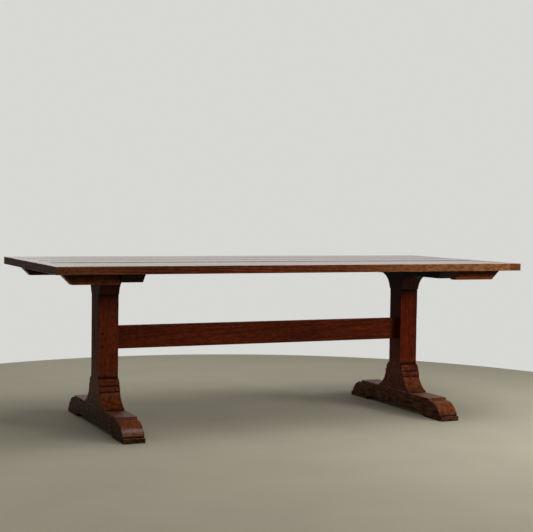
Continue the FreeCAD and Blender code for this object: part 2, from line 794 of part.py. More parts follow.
def make_foot(name, side):
    body = new_body("foot_" + name, ("%d * trestle_spacing / 2" % side, "0", "0"))
    profile = new_sketch(body, "YZ_Plane")
    outline(profile, foot_outline())
    feature = mirror_across(body, pad(body, profile, "foot_width", symmetric=True))
    half = value_of("foot_width / 2")
    relief = value_of("relief_height")

    def on_side_arris(point):
        return near(abs(point.x), half) and point.z > relief + SNUG

    feature = dress(body, "Chamfer", feature, on_side_arris, "foot_chamfer")
    mortise = new_sketch(body, "XY_Plane")
    half_width = "tenon_thickness / 2 + tenon_clearance"
    half_length = "foot_tenon_width / 2 + tenon_clearance"
    rectangle(mortise, "-(%s)" % half_width, "-(%s)" % half_length, half_width, half_length)
    pocket_through(body, mortise)


# ---------------------------------------------------------------------------------------------
# Stretcher and its pegs
# ---------------------------------------------------------------------------------------------
def make_stretcher():
    body = new_body("stretcher", ("0", "0", "stretcher_level"))
    rail = new_sketch(body, "YZ_Plane")
    rectangle(rail, "-(stretcher_thickness / 2)", "0",
              "stretcher_thickness / 2", "stretcher_height")
    feature = pad(body, rail, "trestle_spacing - post_width", symmetric=True)
    half = value_of("stretcher_thickness / 2")
    levels = (0, value_of("stretcher_height"))

    def on_long_arris(point):
        return near(abs(point.y), half) and any(near(point.z, level) for level in levels)

    dress(body, "Chamfer", feature, on_long_arris, "rail_chamfer")
    tenon = new_sketch(body, "YZ_Plane")
    rectangle(tenon, "-(rail_tenon_thickness / 2)", "rail_tenon_shoulder",
              "rail_tenon_thickness / 2", "stretcher_height - rail_tenon_shoulder")
    pad(body, tenon, "trestle_spacing + post_width - 2 * rail_tenon_recess", symmetric=True)
    holes = new_sketch(body, "XZ_Plane")
    reach = "(trestle_spacing / 2 + rail_peg_line)"
    squares(holes, [
        ("%d * %s" % (side, reach), level)
        for _, side in SIDES for level in ("rail_peg_low", "rail_peg_high")], "peg_hole")
    pocket_through(body, holes)


def make_stretcher_pegs(name, side):
    along = "%d * (trestle_spacing / 2 + rail_peg_line)" % side
    body = new_body("stretcher_pegs_" + name, (along, "0", "stretcher_level"))
    sketch = new_sketch(body, "XZ_Plane")
    squares(sketch, [("0", "rail_peg_low"), ("0", "rail_peg_high")], "peg_side")
    pad(body, sketch, "post_depth - 2 * peg_recess", symmetric=True)


# ---------------------------------------------------------------------------------------------
# Build, check and write
# ---------------------------------------------------------------------------------------------
def build():
    for label, width, start in BOARDS:
        make_board(label, width, start)
    make_stretcher()
    for name, side in SIDES:
        make_breadboard(name, side)
        make_breadboard_pegs(name, side)
        make_bearer(name, side)
        make_bearer_screws(name, side)
        for face_name, face in FACES:
            make_batten(name, side, face_name, face)
        make_batten_screws(name, side)
        make_post(name, side)
        make_foot(name, side)
        make_stretcher_pegs(name, side)
        for kind in WEDGES:
            make_wedges(kind, name, side)
    doc.recompute()


def check():
    """Stops on any object in error and on any sub-part without a valid shape."""
    for item in doc.Objects:
        if "Invalid" in item.State or "Error" in item.State:
            raise RuntimeError("%s is %s" % (item.Label, item.State))
    for body in PARTS:
        if body.Shape.isNull() or not body.Shape.isValid():
            raise RuntimeError(body.Label + " has no valid shape")


def write():
    os.makedirs("parts", exist_ok=True)
    for body in PARTS:
        body.Shape.exportStep("parts/%s.step" % body.Label)
        box = body.Shape.BoundBox
        print("%-24s %2d solid(s)  X %8.1f %8.1f  Y %7.1f %7.1f  Z %6.1f %6.1f" % (
            body.Label, len(body.Shape.Solids), box.XMin, box.XMax, box.YMin, box.YMax,
            box.ZMin, box.ZMax))


build()
check()
write()
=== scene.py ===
import json
import math
from functools import partial

import bmesh
import bpy
from mathutils import Matrix, Vector, noise


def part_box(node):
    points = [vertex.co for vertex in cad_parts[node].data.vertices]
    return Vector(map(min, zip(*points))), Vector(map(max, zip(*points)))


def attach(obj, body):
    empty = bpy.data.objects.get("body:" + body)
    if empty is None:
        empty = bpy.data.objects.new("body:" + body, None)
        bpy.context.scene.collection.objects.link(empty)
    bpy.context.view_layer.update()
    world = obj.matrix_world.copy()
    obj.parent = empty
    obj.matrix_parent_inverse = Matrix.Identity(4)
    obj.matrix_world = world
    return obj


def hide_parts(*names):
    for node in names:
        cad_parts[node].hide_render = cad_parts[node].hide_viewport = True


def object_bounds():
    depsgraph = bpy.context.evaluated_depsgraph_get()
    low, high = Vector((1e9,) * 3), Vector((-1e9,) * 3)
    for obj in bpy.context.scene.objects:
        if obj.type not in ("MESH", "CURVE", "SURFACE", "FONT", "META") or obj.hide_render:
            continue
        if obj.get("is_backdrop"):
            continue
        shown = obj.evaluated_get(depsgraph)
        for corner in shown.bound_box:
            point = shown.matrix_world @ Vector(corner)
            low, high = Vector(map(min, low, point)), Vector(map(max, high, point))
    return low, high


bl_info = {
    "name": "Trestle dining table",
    "version": (1, 0, 0),
    "blender": (4, 5, 0),
    "location": "View3D > Sidebar > Trestle table",
    "description": "Dresses the packed trestle table: worn arrises, varnished wood, stage and camera",
    "category": "Object",
}

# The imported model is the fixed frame: metres, +Z up, origin on the floor under the top.
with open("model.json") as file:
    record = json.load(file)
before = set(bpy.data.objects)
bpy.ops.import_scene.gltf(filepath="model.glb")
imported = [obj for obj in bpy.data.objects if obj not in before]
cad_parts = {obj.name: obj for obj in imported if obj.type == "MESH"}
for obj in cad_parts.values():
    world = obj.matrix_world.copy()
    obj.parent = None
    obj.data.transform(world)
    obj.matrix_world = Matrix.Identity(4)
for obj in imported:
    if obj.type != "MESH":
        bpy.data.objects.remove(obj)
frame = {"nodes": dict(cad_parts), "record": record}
CAD_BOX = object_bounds()

MM = 0.001
SIDES = (("left", -1), ("right", 1))
FACES = (("front", -1), ("back", 1))
BODY = "root"
AXES = {"X": 0, "Y": 1, "Z": 2}


# ---- Colours and sizes that a user would change ----
def linear(hex_colour):
    """An sRGB hex value such as 4A1F0E as the four linear numbers that a socket takes."""
    channels = []
    for start in (0, 2, 4):
        value = int(hex_colour[start:start + 2], 16) / 255
        channels.append(value / 12.92 if value <= 0.04045 else ((value + 0.055) / 1.055) ** 2.4)
    return (*channels, 1.0)


def colour(name, hex_colour, description):
    """A colour property whose default is an sRGB hex value."""
    return bpy.props.FloatVectorProperty(
        name=name, description=description, subtype="COLOR", size=4, min=0, max=1,
        default=linear(hex_colour))


def length(name, millimetres, description):
    """A length property whose default is given in millimetres."""
    return bpy.props.FloatProperty(
        name=name, description=description, subtype="DISTANCE", unit="LENGTH",
        default=millimetres * MM, min=0)


class TrestleColours(bpy.types.PropertyGroup):
    early: colour("Early wood", "8A4620", "paler, softer wood between the growth rings")
    late: colour("Late wood", "65290F", "darker lines of the growth rings")
    red: colour("Red stain", "F8825A", "tint of the red stain over the wood")
    pore: colour("Pores", "1C0905", "stain gathered in the open pores")
    worn: colour("Worn arris", "B98460", "where hands have rubbed the stain away")
    # this tan is also painted light: mixed into the front edge of the top, palest towards its right
    # end; it also tints the real scuffs near the floor
    faded_and_lit: colour("Faded edge", "B2784A", "tan wood where daylight has bleached the stain")
    # the grime colour is also painted shade: ambient occlusion lays it into quirks and inner corners
    grime: colour("Grime", "140906", "old wax and dust in the quirks and corners")
    end_grain: colour("End grain", "2C120A", "ends of boards and pegs, which drink more stain")
    steel: colour("Steel", "5E5B57", "dulled steel of the screws")
    tarnish: colour("Tarnish", "38332C", "brown bloom on the steel")
    floor: colour("Floor", "C8C2AB", "plain pale floor")
    backdrop: colour("Backdrop", "D7D8D4", "plain pale wall behind")
    air: colour("Studio air", "7C7873", "dim light from the rest of the studio")


class TrestleSizes(bpy.types.PropertyGroup):
    ring_spacing: length("Ring spacing", 9, "distance between growth rings on a sawn face")
    pore_length: length("Pore length", 26, "length of an open pore along the grain")
    pore_width: length("Pore width", 1.6, "width of a pore; drawn coarse enough to be seen")
    blotch: length("Blotch size", 170, "size of the patches where the stain took unevenly")
    wear_strength: bpy.props.FloatProperty(
        name="Wear strength", description="how much stain the rubbed arrises have lost",
        default=0.75, min=0, max=1, subtype="FACTOR")
    # reach of the ambient occlusion that lays grime and painted shade into inner corners
    grime_and_shade_reach: length("Grime reach", 16, "how far grime spreads from an inner corner")
    arris: length("Arris", 1.7, "mean rounding of the worn arrises of the trestles")
    joint_ease: length("Joint ease", 1.0, "rounding of a board's arris at a joint of the top")
    undulation: length("Undulation", 0.22, "hand-planed waviness of the top")
    screw_slot: length("Screw slot", 1.3, "width of the slot in a screw's head")


# ---- Mesh tools ----
CREASE = math.radians(38)           # faces that meet at more than this keep a sharp edge
SMALL_CREASE = math.radians(30)     # the same on pegs and screws
SAME_PLACE = 1e-6                   # metres: points nearer than this are one point
SLOW_RUB, QUICK_RUB = 90 * MM, 21 * MM      # distances over which the rubbing of an arris changes
LEAST_RUB, MOST_RUB = 0.4, 2


def mesh_piece(node, shell, material, wear=None):
    """A piece of the table that stands for one CAD node and rides on the table's one body."""
    piece = loose_mesh("dressed_" + node, *shell, wear)
    piece.data.materials.append(material)
    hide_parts(node)
    slot_of(node)
    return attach(piece, BODY)


def loose_mesh(name, vertices, faces, wear=None):
    """A closed mesh in the frame's own place, its faces turned outwards."""
    mesh = bpy.data.meshes.new(name)
    mesh.from_pydata(vertices, [], faces)
    if wear:
        worn = mesh.attributes.new("wear", "FLOAT", "POINT")
        worn.data.foreach_set("value", wear)
    made = bpy.data.objects.new(name, mesh)
    bpy.context.scene.collection.objects.link(made)
    tidy_mesh(made)
    return made


def tidy_mesh(made):
    """Merges doubled points, drops faces with no area and turns every face outwards."""
    cleaner = bmesh.new()
    cleaner.from_mesh(made.data)
    bmesh.ops.remove_doubles(cleaner, verts=cleaner.verts, dist=SAME_PLACE)
    bmesh.ops.dissolve_degenerate(cleaner, edges=cleaner.edges, dist=SAME_PLACE)
    bmesh.ops.recalc_face_normals(cleaner, faces=cleaner.faces)
    cleaner.to_mesh(made.data)
    cleaner.free()


def finish_surface(piece, crease=CREASE):
    """Soft shading over curves, sharp creases, and broad flat faces kept flat."""
    tidy_mesh(piece)
    piece.data.shade_smooth()
    piece.data.set_sharp_from_angle(angle=crease)
    piece.modifiers.new("flat faces", "WEIGHTED_NORMAL").keep_sharp = True


def slot_of(node):
    """The record's material slot of a node."""
    return next(row["material_slot"] for row in frame["record"]["subparts"] if row["node"] == node)


def loft(rings):
    """Vertices and faces of a closed tube through rings of equal length, with flat ends."""
    count = len(rings[0])
    vertices = [tuple(point) for ring in rings for point in ring]
    faces = [tuple(range(count))[::-1]]
    for station in range(len(rings) - 1):
        low, high = station * count, (station + 1) * count
        for index in range(count):
            after = (index + 1) % count
            faces.append((low + index, low + after, high + after, high + index))
    last = (len(rings) - 1) * count
    faces.append(tuple(range(last, last + count)))
    return vertices, faces


def joined(shells):
    """Separate closed shells as the vertices and faces of one mesh."""
    vertices, faces = [], []
    for shell_vertices, shell_faces in shells:
        offset = len(vertices)
        vertices.extend(shell_vertices)
        faces.extend(tuple(offset + index for index in face) for face in shell_faces)
    return vertices, faces


def circle(centre, radius, up, sides):
    """A level ring of points round an upright axis."""
    return [(centre.x + radius * math.cos(angle), centre.y + radius * math.sin(angle), up)
            for angle in steps(0, 2 * math.pi, 2 * math.pi / sides)[:-1]]


def block(corner, opposite):
    """A plain block between two opposite corners, for cutting a mortise or adding a tenon."""
    (x0, x1), (y0, y1), (z0, z1) = (sorted(pair) for pair in zip(corner, opposite))
    ring = [(x0, y0), (x1, y0), (x1, y1), (x0, y1)]
    return loose_mesh("cutter", *loft([[(x, y, z) for x, y in ring] for z in (z0, z1)]))


def carve(piece, cutters, operation="DIFFERENCE"):
    """Cuts the cutters out of a piece, or joins them to it, and deletes them."""
    for cutter in cutters:
        change = piece.modifiers.new(operation.lower(), "BOOLEAN")
        change.operation = operation
        change.solver = "EXACT"
        change.object = cutter
    whole = piece.data
    evaluated = piece.evaluated_get(bpy.context.evaluated_depsgraph_get())
    carved = bpy.data.meshes.new_from_object(evaluated)
    piece.modifiers.clear()
    piece.data = carved
    carved.name = whole.name
    bpy.data.meshes.remove(whole)
    for cutter in cutters:
        bpy.data.meshes.remove(cutter.data)
    if not carved.polygons:
        raise RuntimeError(piece.name + ": nothing is left after cutting")


def steps(start, end, spacing):
    """Evenly spaced values from start to end, both included."""
    count = max(1, math.ceil(abs(end - start) / spacing - 1e-9))
    return [start + (end - start) * index / count for index in range(count + 1)]


def uneven(place, reach, seed):
    """A smooth value between about -1 and 1 that changes over a distance of reach."""
    return noise.noise(Vector(place) / reach + Vector((seed * 7.3, seed * 3.1, seed * 1.7)))


def rubbed(place, seed):
    """How much more or less than usual an arris has been rubbed here."""
    slow, quick = uneven(place, SLOW_RUB, seed), uneven(place, QUICK_RUB, seed + 1)
    return min(max(1 + 0.8 * slow + 0.55 * quick, LEAST_RUB), MOST_RUB)


# ---- Outlines of moulded pieces ----
ARC_STEP = 3.5 * MM
RUN_STEP = 14 * MM
CORNER_SHARES = (0, 0.33, 0.67, 1)
ARRIS_RINGS = 4
SMOOTH_JOIN = math.radians(165)     # two runs that meet at more than this need no rounded corner
SMALL_MEMBER = 0.12                 # of a short run, the largest arris that it takes
SMALL_CORNER = 0.3                  # and the most of it that a rounded corner takes


def arc_points(start, end, side, radius):
    """Points along an arc, without its end; side 1 is convex and -1 hollow, seen anticlockwise."""
    chord = end - start
    rise = math.sqrt(max(radius ** 2 - (chord.length / 2) ** 2, 0))
    outward = Vector((chord.y, -chord.x)).normalized()
    centre = (start + end) / 2 - outward * rise * side
    first, last = start - centre, end - centre
    turn = -first.angle_signed(last)
    count = max(3, math.ceil(abs(turn) * radius / ARC_STEP))
    return [centre + Matrix.Rotation(turn * index / count, 2) @ first for index in range(count)]


def outline_points(corners, ease):
    """A closed outline as (point, outward mitre, wear, room), its corners rounded by about ease.

    A corner is (across, up) in millimetres, or (across, up, side, radius) where the run to the
    next corner is an arc, convex for side 1 and hollow for side -1. Corners go anticlockwise.
    wear is 1 where a corner is rubbed and -1 in a hollow corner, which gathers grime and painted shade.
    room is how much of an arris the outline's smallest members near a point leave room for.
    """
    runs = []
    for index, corner in enumerate(corners):
        start = Vector(corner[:2]) * MM
        end = Vector(corners[(index + 1) % len(corners)][:2]) * MM
        if len(corner) == 2:
            shares = steps(0, 1, RUN_STEP / (end - start).length)
            runs.append([start.lerp(end, share) for share in shares][:-1])
        else:
            runs.append(arc_points(start, end, corner[2], corner[3] * MM))
    outline, tight = [], []
    for index, run in enumerate(runs):
        before, point = runs[index - 1][-1], run[0]
        after = run[1] if len(run) > 1 else runs[(index + 1) % len(runs)][0]
        back, ahead = (before - point).normalized(), (after - point).normalized()
        shortest = min((point - runs[index - 1][0]).length,
                       (point - runs[(index + 1) % len(runs)][0]).length)
        tight.append((point, SMALL_MEMBER * shortest))
        outward = mitre(-back, ahead)
        if back.angle(ahead) > SMOOTH_JOIN:
            outline.append((point, outward, 0))
        else:
            is_convex = back.x * ahead.y - back.y * ahead.x < 0
            reach = min(ease, SMALL_CORNER * shortest)
            start, end = point + back * reach, point + ahead * reach
            for share in CORNER_SHARES:
                eased = start.lerp(point, share).lerp(point.lerp(end, share), share)
                outline.append((eased, outward, math.sin(math.pi * share) if is_convex else -1))
        path = [*run, runs[(index + 1) % len(runs)][0]]
        for number in range(1, len(run)):
            into, away = path[number] - path[number - 1], path[number + 1] - path[number]
            outline.append((path[number], mitre(into.normalized(), away.normalized()), 0))
    return [
        (point, outward, worn, min(room + 0.4 * (point - spot).length for spot, room in tight))
        for point, outward, worn in outline]


def mitre(into, away):
    """The outward mitre where an anticlockwise outline turns from one direction to another."""
    along = into + away
    normal = Vector((along.y, -along.x)).normalized()
    return normal / max(normal.dot(Vector((away.y, -away.x))), 0.6)


def moulded_bar(outline, half, arris, place, seed):
    """A bar with one outline and worn arrises along its two flat sides: its shell and its wear.

    place(lateral, across, up) gives the point in the frame. The arris is rubbed more here and
    less there, so its rounding changes along the outline.
    """
    rubs = [rubbed((point.x, point.y, 0), seed) for point, *_ in outline]
    rings, wear = [], []
    for side in (-1, 1):
        for number in range(ARRIS_RINGS + 1):
            share = number / ARRIS_RINGS if side < 0 else 1 - number / ARRIS_RINGS
            angle = share * math.pi / 2
            ring = []
            for (point, outward, corner_wear, room), rub in zip(outline, rubs):
                rounding = min(arris * rub, room)
                inner = point - outward * rounding * (1 - math.sin(angle))
                lateral = side * (half - rounding * (1 - math.cos(angle)))
                ring.append(place(lateral, inner.x, inner.y))
                side_wear = math.sin(2 * angle) * rub / 1.4
                at_corner = corner_wear if share else 0
                wear.append(at_corner if at_corner < 0 else max(side_wear, at_corner))
            rings.append(ring)
    return loft(rings), wear


def mirrored(half_outline):
    """A full outline from its right half, whose first and last corners lie on the middle line."""
    full = list(half_outline)
    for index in range(len(half_outline) - 1, 0, -1):
        across, up = half_outline[index][:2]
        if across:
            full.append((-across, up, *half_outline[index - 1][2:]))
    return full


# ---- Sections of long straight pieces ----
COLUMN_STEP = 22 * MM
STATION_STEP = 22 * MM


class Section:
    """A rectangle, low to high, whose four corners are rounded and whose long faces have points.

    Corners go anticlockwise: lower near, lower far, upper far, upper near. Each has its own ease
    and its own wear. far and near are extra points on the upright faces, for a tongue or groove.
    """

    def __init__(self, low, high, far=(), near=()):
        self.low, self.high = Vector(low), Vector(high)
        self.far, self.near = far, near
        self.columns = steps(self.low.x, self.high.x, COLUMN_STEP)[1:-1]

    def corner(self, number, ease, wear):
        """Points round one corner as (across, up, wear)."""
        right, top = number in (1, 2), number in (2, 3)
        centre = Vector((self.high.x - ease if right else self.low.x + ease,
                         self.high.y - ease if top else self.low.y + ease))
        first = math.radians((180, 270, 0, 90)[number])
        points = []
        for index in range(ARRIS_RINGS + 1):
            share = index / ARRIS_RINGS
            angle = first + share * math.pi / 2
            points.append((centre.x + ease * math.cos(angle), centre.y + ease * math.sin(angle),
                           wear * math.sin(math.pi * share)))
        return points

    def ring(self, eases, wears):
        """The whole section, anticlockwise, as (across, up, wear)."""
        corners = [self.corner(number, eases[number], wears[number]) for number in range(4)]
        lower = [(across, self.low.y, 0) for across in self.columns]
        upper = [(across, self.high.y, 0) for across in self.columns[::-1]]
        far = [(across, up, 0) for across, up in self.far]
        near = [(across, up, 0) for across, up in self.near]
        return corners[0] + lower + corners[1] + far + corners[2] + upper + corners[3] + near


def straight_bar(stations, place):
    """A shell and its wear through (along, ring) stations; place gives each point's spot."""
    rings = [[place(along, across, up) for across, up, _ in ring] for along, ring in stations]
    wear = [worn for _, ring in stations for _, _, worn in ring]
    return loft(rings), wear


# ---- Materials ----
MIX_A, MIX_B, MIX_RESULT = 6, 7, 2      # colour sockets of a Mix node
WAVE_TURN = 0.05 * 2 * math.pi          # one wave is this long at a Wave Texture's scale of 1
RING_DRAW = 0.07                        # rings change this many times as fast along the grain
RING_LEAN = 1.6                 # degrees, the most that a tree's pith leans from the grain
SHADE_REACH = 0.32                  # metres: wood with something this near in front of it gets painted shade
SHADE_UNDER_TOP = (0.5, 0.64)         # metres up: between these the painted shade under the top grows to its full depth
SHADE_NEAR_FLOOR = (0.16, 0.07)       # and here that of the painted shade near the floor
SCUFFED = (0.27, 0.21)          # from here down shoes have scuffed the trestles
FRONT_EDGE = (-0.47, -0.498)    # across the table: the strip of the front edge that is paled, partly bleached and partly painted light
# along the table: where the painted light on the front edge begins and ends, and the share that it
# comes to there
PAINTED_LIGHT_ENDS = ((-0.1, 0.95, 1.0), (-0.75, -1.1, 0.32))

# length along the grain and width across it of what a pattern draws, in metres
FIBRE = (0.16, 0.0026)
STREAK = (0.7, 0.034)
RUB = (0.055, 0.016)
BRUSH_MARK = (0.3, 0.009)
FLECK = (0.02, 0.007)
SCUFF = (0.04, 0.014)
BLEACHED_SPOT = (0.03, 0.01)
TARNISH_SPOT = (0.003, 0.003)
FLOOR_MOTTLE = (0.4, 0.4)


def add_node(tree, kind, inputs=None, output=0, **settings):
    """Adds one node with its settings and gives one of its output sockets.

    inputs are values, or other nodes' output sockets to link.
    """
    made = tree.nodes.new("ShaderNode" + kind)
    for key, value in settings.items():
        setattr(made, key, value)
    for socket, value in (inputs or {}).items():
        if isinstance(value, bpy.types.NodeSocket):
            tree.links.new(value, made.inputs[socket])
        else:
            made.inputs[socket].default_value = value
    return made.outputs[output] if made.outputs else None


def new_material(name):
    """A material with an empty node tree, and add_node for that tree."""
    material = bpy.data.materials.new(name)
    material.use_nodes = True
    material.node_tree.nodes.clear()
    return material, partial(add_node, material.node_tree)


def pattern(add, seed, axis, size, spread, shown=(0.0, 1.0), detail=2.0):
    """Soft noise of a size along and across the grain, its spread of values drawn out to shown."""
    along, across = size
    scale = [1 / across] * 3
    scale[AXES[axis]] = 1 / along
    places = add("Mapping", {
        "Vector": add("TexCoord", output="Object"), "Scale": scale,
        "Location": [seed * 3.17, seed * 5.71, seed * 2.39]})
    cloud = add("TexNoise", {"Vector": places, "Scale": 1.0, "Detail": detail}, "Fac")
    return add("MapRange", {"Value": cloud, "From Min": spread[0], "From Max": spread[1],
                            "To Min": shown[0], "To Max": shown[1]})


def growth_rings(add, seed, axis, pith, most):
    """Circles about the pith, which leans a little from the grain: up to most in the late wood."""
    lean = [math.radians(RING_LEAN * math.sin(seed * 2.1 + turn)) for turn in range(3)]
    lean[AXES[axis]] = 0
    draw = [1.0, 1.0, 1.0]
    draw[AXES[axis]] = RING_DRAW
    moved = add("Mapping", {"Vector": add("TexCoord", output="Object"),
                            "Location": [-value for value in pith], "Rotation": lean})
    rings = add("TexWave", {
        "Vector": add("Mapping", {"Vector": moved, "Scale": draw}),
        "Scale": WAVE_TURN / bpy.context.scene.trestle_sizes.ring_spacing,
        "Distortion": 5.0, "Detail": 2.0, "Detail Scale": 0.35, "Detail Roughness": 0.55,
        "Phase Offset": seed * 1.9}, "Fac", wave_type="RINGS", rings_direction=axis)
    return add("MapRange", {"Value": rings, "From Min": 0.35, "From Max": 1.0, "To Max": most},
               interpolation_type="SMOOTHSTEP")


def bleach_and_painted_light(add, seed, axis, streaks, fade_and_light):
    """How far the front edge of the top is paled: partly bleached, and partly painted light that is
    strongest towards its right end.
    """
    along, across = (add("SeparateXYZ", {0: add("TexCoord", output="Object")}, part)
                     for part in ("X", "Y"))
    right, left = (add("MapRange", {
        "Value": along, "From Min": start, "From Max": end, "To Max": most},
        interpolation_type="SMOOTHSTEP") for start, end, most in PAINTED_LIGHT_ENDS)
    nearer = add("Math", {0: right, 1: left}, operation="MAXIMUM")
    at_front = add("MapRange", {
        "Value": across, "From Min": FRONT_EDGE[0], "From Max": FRONT_EDGE[1]})
    spots = pattern(add, seed, axis, BLEACHED_SPOT, (0.4, 0.6), (0.3, 1.15), 4.0)
    share = fade_and_light
    for part in (nearer, at_front, spots, streaks):
        share = add("Math", {0: share, 1: part}, operation="MULTIPLY")
    return share


def varnished_hardwood(name, axis, seed, pith, tone=1.0, redness=0.6, polish=0.0, fade_and_light=0.0):
    """Ring-porous hardwood, sawn, stained dark red-brown and varnished by hand.

    The rings give broad cathedral figure on the faces and arcs on the end grain. Stain lies dark
    in the long open pores. The varnish gives a thin clear gloss that is broken by the pores.
    pith is where the middle of the tree lay, in metres from the origin. polish is 1 on the
    waxed top and 0 on the trestles, which show less of their rings and are scuffed near the
    floor. The last argument is how far the front edge of the top is paled: partly a bleached tan, and
    partly painted light, which makes it palest towards its right end.
    """
    colours = bpy.context.scene.trestle_colours
    sizes = bpy.context.scene.trestle_sizes
    material, add = new_material("varnished_hardwood_" + name)
    pore = (sizes.pore_length, sizes.pore_width)
    blotch = (sizes.blotch * 2.2, sizes.blotch)
    fibres = pattern(add, seed, axis, FIBRE, (0.3, 0.7), (0.82, 1.14), 3.0)
    pores = pattern(add, seed + 1, axis, pore, (0.56, 0.68), detail=1.0)
    streaks = pattern(add, seed + 2, axis, STREAK, (0.3, 0.7), (0.85, 1.13))
    blotches = pattern(add, seed + 3, axis, blotch, (0.3, 0.7), (0.78, 1.18))
    rub = pattern(add, seed + 4, axis, RUB, (0.36, 0.62), (0.0, sizes.wear_strength), 4.0)
    brushing = pattern(add, seed + 5, axis, BRUSH_MARK, (0.3, 0.7), (0.17, 0.31), 3.0)
    flecks = pattern(add, seed + 6, axis, FLECK, (0.3, 0.7), (0.62, 1.4), 4.0)
    scuffs = pattern(add, seed + 7, axis, SCUFF, (0.4, 0.68), (0.0, 0.42 * (1 - polish)), 4.0)

    # stain over the growth rings, uneven along the fibres and in blotches
    late = growth_rings(add, seed, axis, pith, 0.45 + 0.55 * polish)
    stained = add("Mix", {0: late, MIX_A: colours.early, MIX_B: colours.late}, MIX_RESULT,
                  data_type="RGBA")
    redder = add("Mix", {0: redness, MIX_A: stained, MIX_B: colours.red}, MIX_RESULT,
                 data_type="RGBA", blend_type="MULTIPLY")
    level = tone
    for shade in (fibres, streaks, blotches, flecks):
        level = add("Math", {0: level, 1: shade}, operation="MULTIPLY")
    wood = add("VectorMath", {0: redder, "Scale": level}, operation="SCALE")

    # dark pores, end grain that has drunk more stain, and a paled front edge, partly bleached and
    # partly painted light
    normal = add("NewGeometry", output="Normal")
    direction = [float(letter == axis) for letter in AXES]
    facing = add("VectorMath", {0: normal, 1: direction}, "Value", operation="DOT_PRODUCT")
    ends = add("MapRange", {"Value": add("Math", {0: facing}, operation="ABSOLUTE"),
                            "From Min": 0.75, "From Max": 0.97, "To Max": 0.45})
    layers = [(add("Math", {0: pores, 1: 0.75}, operation="MULTIPLY"), colours.pore),
              (ends, colours.end_grain)]
    if fade_and_light:
        layers.append((bleach_and_painted_light(add, seed + 8, axis, streaks, fade_and_light), colours.faded_and_lit))
    for share, tint in layers:
        wood = add("Mix", {0: share, MIX_A: wood, MIX_B: tint}, MIX_RESULT, data_type="RGBA")

    # painted shade: wood close under the top and low between the feet is darkened where ambient
    # occlusion finds it hemmed in
    height = add("SeparateXYZ", {0: add("TexCoord", output="Object")}, "Z")
    above, below, knocked = (add("MapRange", {"Value": height, "From Min": start, "From Max": end})
                             for start, end in (SHADE_UNDER_TOP, SHADE_NEAR_FLOOR, SCUFFED))
    daylight = add("AmbientOcclusion", {"Distance": SHADE_REACH}, "AO", samples=6)
    painted_shade_depth = add("MapRange", {
        "Value": daylight, "From Min": 0.45, "From Max": 0.95, "To Min": 0.97, "To Max": 0.0})
    shaded_heights = add("Math", {0: above, 1: below}, operation="ADD", use_clamp=True)
    painted_shade = add("Math", {0: painted_shade_depth, 1: shaded_heights}, operation="MULTIPLY")
    lit = add("Math", {0: 1.0, 1: painted_shade}, operation="SUBTRACT")
    wood = add("VectorMath", {0: wood, "Scale": lit}, operation="SCALE")

    # scuffs near the floor, rubbed arrises, and grime with painted shade in inner corners and quirks
    scuffed = add("Math", {0: knocked, 1: scuffs}, operation="MULTIPLY")
    wear = add("Attribute", output="Fac", attribute_name="wear")
    worn = add("Math", {0: wear, 1: rub}, operation="MULTIPLY", use_clamp=True)
    open_air = add("AmbientOcclusion", {"Distance": sizes.grime_and_shade_reach}, "AO", samples=4)
    corners = add("MapRange", {
        "Value": open_air, "From Min": 0.3, "From Max": 0.9, "To Min": 0.92, "To Max": 0.0})
    quirks = add("Math", {0: wear, 1: -0.85}, operation="MULTIPLY", use_clamp=True)
    grime_and_shade_share = add("Math", {0: corners, 1: quirks}, operation="MAXIMUM")
    for share, tint in ((scuffed, colours.faded_and_lit), (worn, colours.worn), (grime_and_shade_share, colours.grime)):
        wood = add("Mix", {0: share, MIX_A: wood, MIX_B: tint}, MIX_RESULT, data_type="RGBA")

    # brushed varnish, dulled where it is rubbed, dirty or dusty from above, sunk over the pores
    dust = add("MapRange", {"Value": add("SeparateXYZ", {0: normal}, "Z"),
                            "From Min": 0.8, "From Max": 0.98, "To Max": 0.3 * (1 - polish)})
    roughness = brushing
    for share, dulling in ((worn, 0.12), (grime_and_shade_share, 0.3), (dust, 1.0)):
        roughness = add("Math", {0: share, 1: dulling, 2: roughness}, operation="MULTIPLY_ADD",
                        use_clamp=True)
    sunk = add("Math", {0: pores, 1: -0.8}, operation="MULTIPLY")
    relief = add("Math", {0: fibres, 1: 0.3, 2: sunk}, operation="MULTIPLY_ADD")
    bump = add("Bump", {
        "Height": relief, "Strength": 0.35 - 0.17 * polish, "Distance": 0.25 * MM})
    shader = add("BsdfPrincipled", {
        "Base Color": wood, "Roughness": roughness, "Normal": bump, "IOR": 1.5,
        "Specular IOR Level": 0.35 + 0.15 * polish, "Coat Weight": 0.45 * polish,
        "Coat Roughness": 0.14, "Coat IOR": 1.52})
    add("OutputMaterial", {"Surface": shader})
    return material


def turned_steel(name, seed):
    """Mild steel screws, turned and gone dull with age: a soft grey shine with darker patches."""
    colours = bpy.context.scene.trestle_colours
    material, add = new_material("turned_steel_" + name)
    tarnish = pattern(add, seed, "Z", TARNISH_SPOT, (0.35, 0.7), detail=3.0)
    shade = add("Mix", {0: tarnish, MIX_A: colours.steel, MIX_B: colours.tarnish}, MIX_RESULT,
                data_type="RGBA")
    roughness = add("MapRange", {"Value": tarnish, "To Min": 0.34, "To Max": 0.62})
    shader = add("BsdfPrincipled", {
        "Base Color": shade, "Metallic": 1.0, "Roughness": roughness})
    add("OutputMaterial", {"Surface": shader})
    return material


